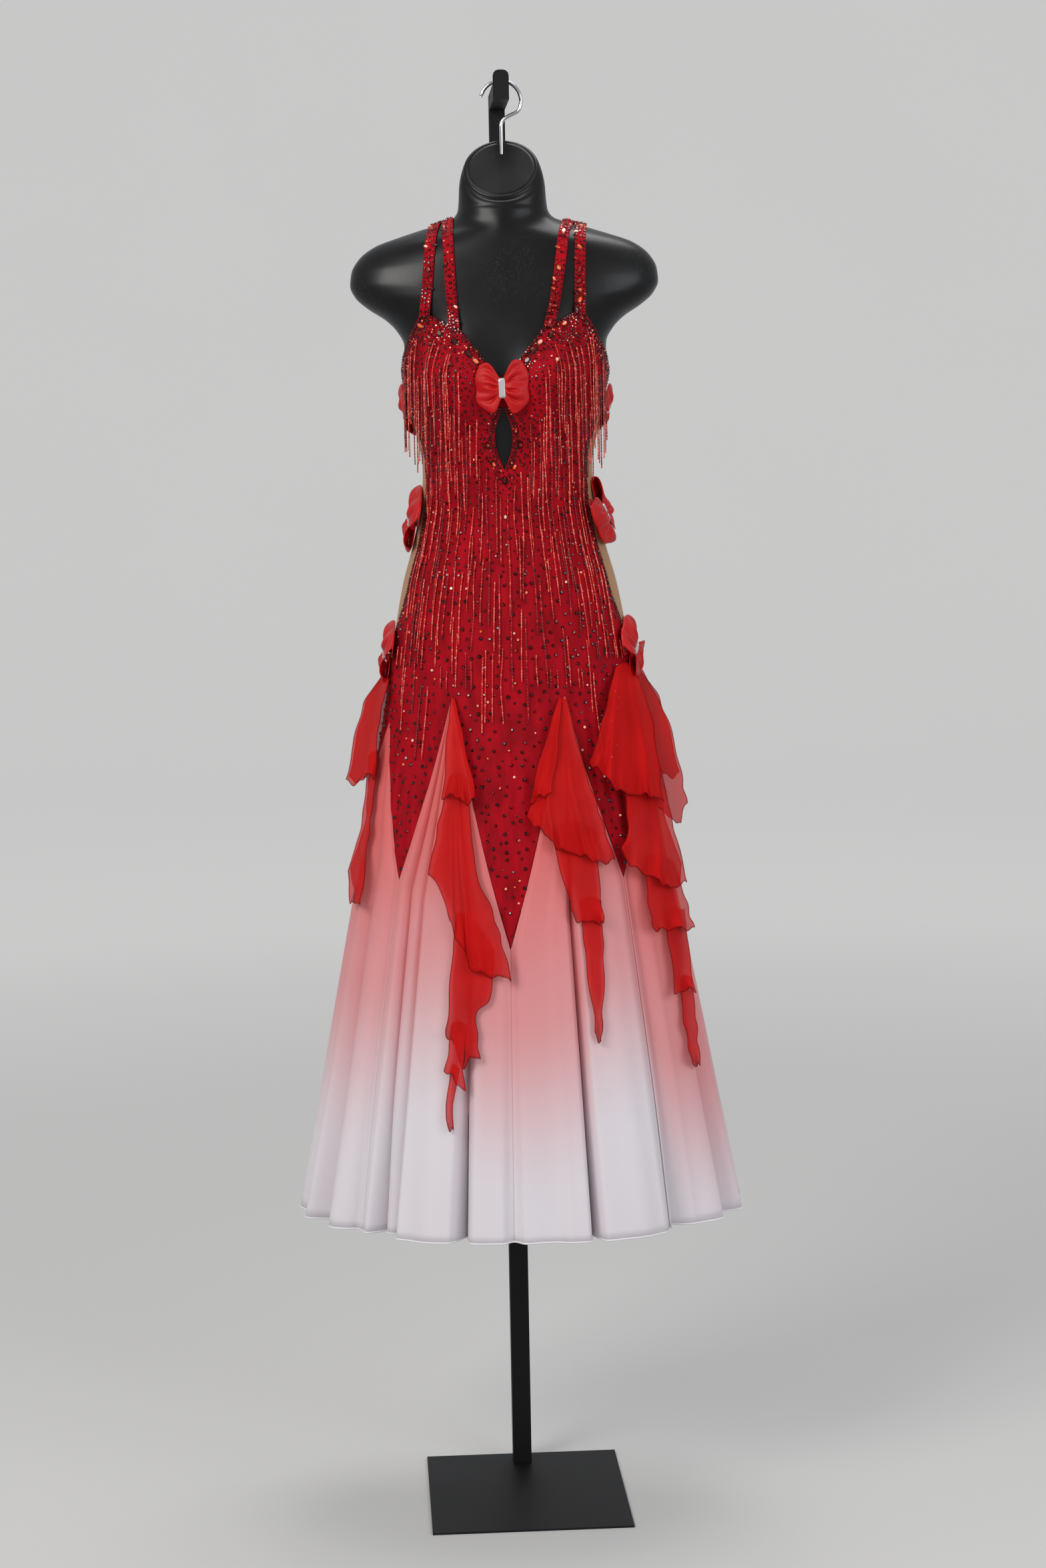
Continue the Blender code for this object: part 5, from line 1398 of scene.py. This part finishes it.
class DRESS_OT_straps(bpy.types.Operator):
    """Make the shoulder straps and their stones"""
    bl_idname = "dress.make_straps"
    bl_label = "Straps"

    def execute(self, context):
        sizes = context.scene.dress_sizes
        rng = np.random.default_rng(sizes.seed + 1)
        stones = Form()
        for name in STRAPS:
            t, share = np.linspace(0, 1, 121)[:, None], np.linspace(-0.5, 0.5, 7)[None]
            points = strap_net(name, share, t, STRAP_CROWN * np.cos(share * math.pi))
            obj = make_piece("strap_cloth_" + name, stretch_cloth_finish, points,
                             grid_faces(*points.shape[:2]),
                             stack(share * STRAP_WIDTH * MM, t * STRAP_UV_LENGTH))
            add_wall(obj, STRAP_WALL)
            place(obj, "beaded_stretch", "strap_" + name)
            for column, count, size in STRAP_STONES:
                at = np.linspace(0.004, 0.996, count) + rng.uniform(-0.002, 0.002, count)
                share = column + rng.uniform(-0.05, 0.05, count)
                lift = STRAP_CROWN * np.cos(share * math.pi)
                centre, after, before, right, left = (
                    strap_net(name, share + aside, at + ahead, lift)
                    for aside, ahead in ((0, 0), (0, 0.004), (0, -0.004), (0.05, 0), (-0.05, 0)))
                normal = unit(np.cross(after - before, right - left))
                outward = centre - (0, 0, STRAP_CENTRE)
                normal = normal * np.sign(np.sum(normal * outward, axis=-1))[:, None]
                big = rng.uniform(0, 1, count) > 0.90
                add_stones(stones, centre + normal * (0.5 * STRAP_WALL + 0.05), normal,
                           size * np.where(big, 1.4, rng.uniform(0.7, 1.05, count)),
                           np.clip(rng.beta(1.3, 2.2, count) + 0.3 * big, 0, 1), rng,
                           longer=np.where(big, 1.6, 1.0))
        obj = stones.make("strap_stones", finish_of(stone_finish), smooth=False)
        place(obj, "bugle_beads")
        return {"FINISHED"}


# Large stones near the neckline and the keyhole. Columns: x, height, width, length, turn, tone,
# whose highest values paint a flash of light on the stone
LARGE_STONES = (
    (-111, 1664, 6, 11, 60, 0.88), (-84, 1652, 7, 11, 30, 0.30), (-64, 1640, 8, 12, 35, 0.18),
    (-45, 1622, 8, 13, 40, 0.20), (-36, 1612, 7, 12, 48, 0.90), (-26, 1599, 6, 10, 35, 0.35),
    (-98, 1638, 6, 9, 80, 0.50), (-70, 1610, 6, 8, 20, 0.60),
    (26, 1602, 7, 11, -40, 0.87), (35, 1612, 7, 11, -42, 0.28), (44, 1626, 8, 13, -38, 0.20),
    (52, 1636, 7, 11, -40, 0.94), (66, 1646, 7, 10, -30, 0.22), (84, 1662, 6, 10, -60, 0.88),
    (112, 1664, 6, 10, -60, 0.40), (74, 1612, 6, 8, -20, 0.94), (92, 1636, 6, 8, -70, 0.55),
    (-22, 1500, 6, 10, 10, 0.35), (-14, 1474, 5, 8, 30, 0.87), (14, 1470, 5, 9, -30, 0.88),
    (17, 1520, 5, 9, -20, 0.70), (22, 1500, 6, 10, -8, 0.22), (0, 1452, 7, 11, 0, 0.12),
    (-10, 1456, 5, 7, 0, 0.60), (10, 1456, 5, 7, 0, 0.62), (0, 1402, 5, 7, 0, 0.98),
)


class DRESS_OT_stones(bpy.types.Operator):
    """Scatter the rhinestones of the panels and line their edges"""
    bl_idname = "dress.make_stones"
    bl_label = "Stones"

    def execute(self, context):
        sizes = context.scene.dress_sizes
        rng = np.random.default_rng(sizes.seed)
        small = sizes.stone / MM
        front, back = Form(), Form()
        # Columns: spacing, lowest and highest, size, share of stones painted bright as a flash of
        # light, and where they lie by their depth below the neckline, height and x
        zones = ((4.5, 1560, 1690, 0.82, 0.20, lambda d, z, x: d < 36),
                 (7.4, 1476, 1660, 0.92, 0.04,
                  lambda d, z, x: (d >= 36) & (x > keyhole_half(z) + 15)),
                 (5.2, 1425, 1600, 0.82, 0.06,
                  lambda d, z, x: (d >= 30) & (x < keyhole_half(z) + 17)),
                 (9.8, 1330, 1478, 1.0, 0.03, lambda d, z, x: x > 17 * ease((z - 1415) / 30)),
                 (sizes.stone_pitch / MM, 815, 1330, 1.28, 0.06, lambda d, z, x: z > 0))
        for pitch, low, high, scale, bright, wanted in zones:
            angle, z = stone_net(pitch, low, high, rng)
            clipped = np.clip(angle, -FRONT_LIMIT, FRONT_LIMIT)
            x = np.abs(section_point(DRESS, clipped, z)[..., 0])
            keep = on_front(angle, z, 2.4) & wanted(read_line(NECKLINE, x) - z, z, x)
            angle, z = angle[keep], z[keep]
            count = len(angle)
            size = small * scale * rng.uniform(0.66, 1.1, count)
            # A share of the stones get bright tones, a painted flash of light; the rest keep darker
            # tones
            tone = np.where(rng.uniform(0, 1, count) < bright, rng.uniform(0.85, 1, count),
                            rng.beta(0.9, 4.5, count))
            sew_stones(front, angle, z, STONE_LIFT, rng.normal(0, 0.14, (count, 3)), size, tone,
                       rng)
        lines = [(front, *panel_outline(NECKLINE, 2.0), 4.1, 4.4),
                 (front, *panel_outline(NECKLINE, 6.4), 4.9, 3.8)]
        span = np.linspace(KEYHOLE_TOP - 1, KEYHOLE_BOTTOM + 1, 90)
        for out in (2.4, 6.6):
            rim = angle_of_x(keyhole_half(span) + out, span)
            lines += [(front, side * rim, span, 4.2, 3.9) for side in (-1, 1)]
        angle, z = panel_outline(BACK_EDGE, 2.2)
        lines.append((back, behind(angle), z, 4.4, 4.2))
        for form, angle, z, pitch, size in lines:
            angle, z = edge_line(angle, z, pitch)
            count = len(angle)
            sew_stones(form, angle, z, STONE_LIFT, rng.normal(0, 0.1, (count, 3)),
                       size * rng.uniform(0.85, 1.1, count), rng.beta(1.0, 2.8, count), rng)
        x, z, width, length, turn, tone = np.array(LARGE_STONES, float).T
        sew_stones(front, angle_of_x(x, z), z, LARGE_STONE_LIFT, 0.0, width * LARGE_STONE_SCALE,
                   tone, rng, turn * DEG, length / width)
        angle, z = stone_net(15.0, 830, 1560, rng)
        x = np.abs(section_point(DRESS, behind(angle), z)[..., 0])
        girth = read_table(DRESS, z, 2) * DEG
        keep = (z < read_line(BACK_EDGE, x) - 5) & (np.abs(angle) < side_edge(z) - 4 / girth)
        keep &= (z > read_line(POINTS, np.abs(angle)) + 8) | (z > HIP_ROW)
        angle, z = behind(angle)[keep], z[keep]
        count = len(angle)
        sew_stones(back, angle, z, STONE_LIFT, 0.0, small * rng.uniform(0.7, 1.05, count),
                   rng.beta(0.9, 4.0, count), rng)
        for form, name in ((front, "front_stones"), (back, "back_stones")):
            place(form.make(name, finish_of(stone_finish), smooth=False), "bugle_beads")
        return {"FINISHED"}


class DRESS_OT_fringe(bpy.types.Operator):
    """Hang the bugle-bead fringe"""
    bl_idname = "dress.make_fringe"
    bl_label = "Fringe"

    def execute(self, context):
        sizes = context.scene.dress_sizes
        rng = np.random.default_rng(sizes.seed + 2)
        for comb in COMBS:
            points, radius, tone, beads = strand_nets(comb, rng, sizes.bead_length / MM)
            form = Form()
            for line, thick, shade, count in zip(points, radius, tone, beads):
                used = slice(0, int(count) * 3)
                thick = thick[used] * sizes.bead_radius / MM
                form.add(*tube(line[used], thick, 4, (0.11, -0.98, 0.1)),
                         tone=np.repeat(shade[used], 4))
            obj = form.make("bead_fringe_" + comb, finish_of(bead_finish))
            place(obj, "bugle_beads", "fringe_" + comb)
        return {"FINISHED"}


class DRESS_OT_form(bpy.types.Operator):
    """Make the smooth torso form"""
    bl_idname = "dress.make_form"
    bl_label = "Torso form"

    def execute(self, context):
        angle = np.arange(FORM_SIDES) * 360.0 / FORM_SIDES
        angle = np.where(angle > 180, angle - 360, angle)
        (front_y, front_z), (back_y, back_z) = DISC_BOTTOM, DISC_TOP
        middle = np.array((0.0, (front_y + back_y) / 2, (front_z + back_z) / 2))
        slope = np.array((0.0, back_y - front_y, back_z - front_z)) / 2
        facing = unit(np.array((0.0, -slope[2], slope[1])))
        s, c = np.sin(angle * DEG)[:, None], np.cos(angle * DEG)[:, None]
        rows = [middle + s * (wide, 0, 0) - c * slope * share + facing * rise
                for wide, share, rise in NECK_RIM]
        rim, ring = rows[-1], section_point(FIGURE, angle, NECK_FOOT)
        outward = unit(np.concatenate((s, -c, 0 * s), axis=1))
        for w in np.linspace(0, 1, 14)[1:-1]:
            bulge = outward * NECK_BULGE * math.sin(math.pi * w) * (1 - w)
            rows.append(rim + (ring - rim) * w ** 1.15 + bulge)
        rows += [section_point(FIGURE, angle, z)
                 for z in np.linspace(NECK_FOOT, FORM_FOOT, FORM_ROWS)]
        foot, centre = rows[-1], np.array((0.0, FORM_FOOT_Y, FORM_FOOT))
        rows += [centre + (foot - centre) * share - (0, 0, drop) for share, drop in FOOT_ROUND]
        faces = [grid_faces(len(rows), FORM_SIDES, closed=True),
                 *(cap[:, ::-1] for cap in cap_faces(len(rows), FORM_SIDES))]
        obj = make_piece("form_shell", plastic_finish, rows, faces)
        change_mesh(obj, face_outwards)
        place(obj, "black_plastic", "torso_form")
        return {"FINISHED"}


class DRESS_OT_stand(bpy.types.Operator):
    """Make the hook, and finish the solids of the stand"""
    bl_idname = "dress.make_stand"
    bl_label = "Hook and stand"

    def execute(self, context):
        stem = stack(np.zeros(8), np.linspace(HOOK_STEM_FOOT, HOOK_STEM_TOP, 8))
        turn = HOOK_TURN * DEG
        end = np.array((HOOK_RADIUS * math.cos(turn), HOOK_CENTRE + HOOK_RADIUS * math.sin(turn)))
        pull = np.array((math.sin(turn), -math.cos(turn))) * HOOK_PULL
        t = np.linspace(0, 1, 18)[1:-1, None]
        start = np.array((0.0, HOOK_STEM_TOP))
        bend = ((1 - t) ** 3 * start + 3 * t * (1 - t) ** 2 * (start + (0, HOOK_RISE))
                + 3 * t * t * (1 - t) * (end + pull) + t ** 3 * end)
        turns = np.linspace(HOOK_TURN, HOOK_TIP, 64) * DEG
        crook = stack(HOOK_RADIUS * np.cos(turns), HOOK_CENTRE + HOOK_RADIUS * np.sin(turns))
        x, z = np.concatenate((stem, bend, crook)).T
        radius = np.full(len(x), HOOK_WIRE / 2)
        radius[-3:] *= (0.96, 0.82, 0.5)
        obj = make_piece("hook_wire", chrome_finish,
                         *tube(stack(x, 0 * x, z), radius, 16, (0, 1, 0)))
        place(obj, "hook_chrome", "hook")
        for name in ("base_plate", "lower_post", "upper_post", "top_arm"):
            mesh = frame["nodes"][name].data
            mesh.materials.clear()
            mesh.materials.append(finish_of(coated_steel_finish))
        return {"FINISHED"}


class DRESS_OT_stage(bpy.types.Operator):
    """Set the pale floor, the lights and the camera"""
    bl_idname = "dress.make_stage"
    bl_label = "Stage"

    def execute(self, context):
        scene = context.scene
        flat = np.linspace(FLOOR_RADIUS / 40, FLOOR_RADIUS, 40)
        turn = np.linspace(0, math.pi / 2, 17)[1:]
        wall = np.linspace(SWEEP_RADIUS, WALL_TOP, 9)[1:]
        r = np.concatenate((flat, FLOOR_RADIUS + SWEEP_RADIUS * np.sin(turn),
                            FLOOR_RADIUS + SWEEP_RADIUS + 0 * wall))[:, None]
        z = np.concatenate((0 * flat, SWEEP_RADIUS * (1 - np.cos(turn)), wall))[:, None]
        around = np.arange(STAGE_SIDES)[None] * 2 * math.pi / STAGE_SIDES
        glow = np.broadcast_to(ease((r - GLOW_START) / (GLOW_FULL - GLOW_START)),
                               (len(r), STAGE_SIDES))
        faces = [grid_faces(len(r), STAGE_SIDES, closed=True), np.arange(STAGE_SIDES)[None]]
        floor = make_piece("studio_floor", studio_finish,
                           stack(r * np.cos(around), r * np.sin(around), z), faces,
                           glow=glow.ravel())
        floor.visible_diffuse = floor.visible_glossy = floor.visible_transmission = False
        floor.visible_shadow = False
        scene = context.scene
        for name, (at, size, power, tint) in LAMPS.items():
            data = bpy.data.lights.new(name, "AREA")
            data.size, data.energy, data.color = size, power, tint
            lamp = bpy.data.objects.new(name, data)
            scene.collection.objects.link(lamp)
            lamp.location = at
            aim = Vector(LAMP_AIM) - Vector(at)
            lamp.rotation_euler = aim.to_track_quat("-Z", "Y").to_euler()
        world = bpy.data.worlds.new("studio_air")
        world.use_nodes = True
        background = world.node_tree.nodes["Background"]
        background.inputs["Color"].default_value = AIR
        background.inputs["Strength"].default_value = AIR_STRENGTH
        scene.world = world
        scene.view_settings.view_transform = "Standard"
        data = bpy.data.cameras.new("photo_camera")
        data.lens, data.sensor_width = LENS, 36.0
        data.clip_start, data.clip_end = 0.05, 60.0
        camera = bpy.data.objects.new("photo_camera", data)
        scene.collection.objects.link(camera)
        a = TURN * DEG
        camera.location = (MM * (CAMERA_DISTANCE * math.sin(a) + CAMERA_SHIFT * math.cos(a)),
                           MM * (-CAMERA_DISTANCE * math.cos(a) + CAMERA_SHIFT * math.sin(a)),
                           MM * CAMERA_HEIGHT)
        camera.rotation_euler = (Matrix.Rotation(a, 3, "Z")
                                 @ Matrix.Rotation((90 - TILT) * DEG, 3, "X")
                                 @ Matrix.Rotation(-ROLL, 3, "Z")).to_euler()
        scene.camera = camera
        return {"FINISHED"}


OPERATORS = (DRESS_OT_panels, DRESS_OT_godets, DRESS_OT_cascades, DRESS_OT_bows, DRESS_OT_straps,
             DRESS_OT_stones, DRESS_OT_fringe, DRESS_OT_form, DRESS_OT_stand, DRESS_OT_stage)


class DRESS_PT_sidebar(bpy.types.Panel):
    """Operators and settings of the dress"""
    bl_idname = "DRESS_PT_sidebar"
    bl_label = "Ballroom dress"
    bl_space_type = "VIEW_3D"
    bl_region_type = "UI"
    bl_category = "Dress"

    def draw(self, context):
        for operator in OPERATORS:
            self.layout.operator(operator.bl_idname)
        for group in (context.scene.dress_sizes, context.scene.dress_colours):
            column = self.layout.column()
            for key in group.__annotations__:
                column.prop(group, key)


CLASSES = (DressSizes, DressColours, *OPERATORS, DRESS_PT_sidebar)


def register():
    """Register the classes and put the settings on the scene."""
    for item in CLASSES:
        bpy.utils.register_class(item)
    bpy.types.Scene.dress_sizes = PointerProperty(type=DressSizes)
    bpy.types.Scene.dress_colours = PointerProperty(type=DressColours)


def unregister():
    """Take the settings and the classes away."""
    del bpy.types.Scene.dress_colours
    del bpy.types.Scene.dress_sizes
    for item in reversed(CLASSES):
        bpy.utils.unregister_class(item)


def main():
    """Make every piece in order."""
    register()
    for operator in OPERATORS:
        group, action = operator.bl_idname.split(".")
        getattr(getattr(bpy.ops, group), action)()


if __name__ == "__main__":
    main()
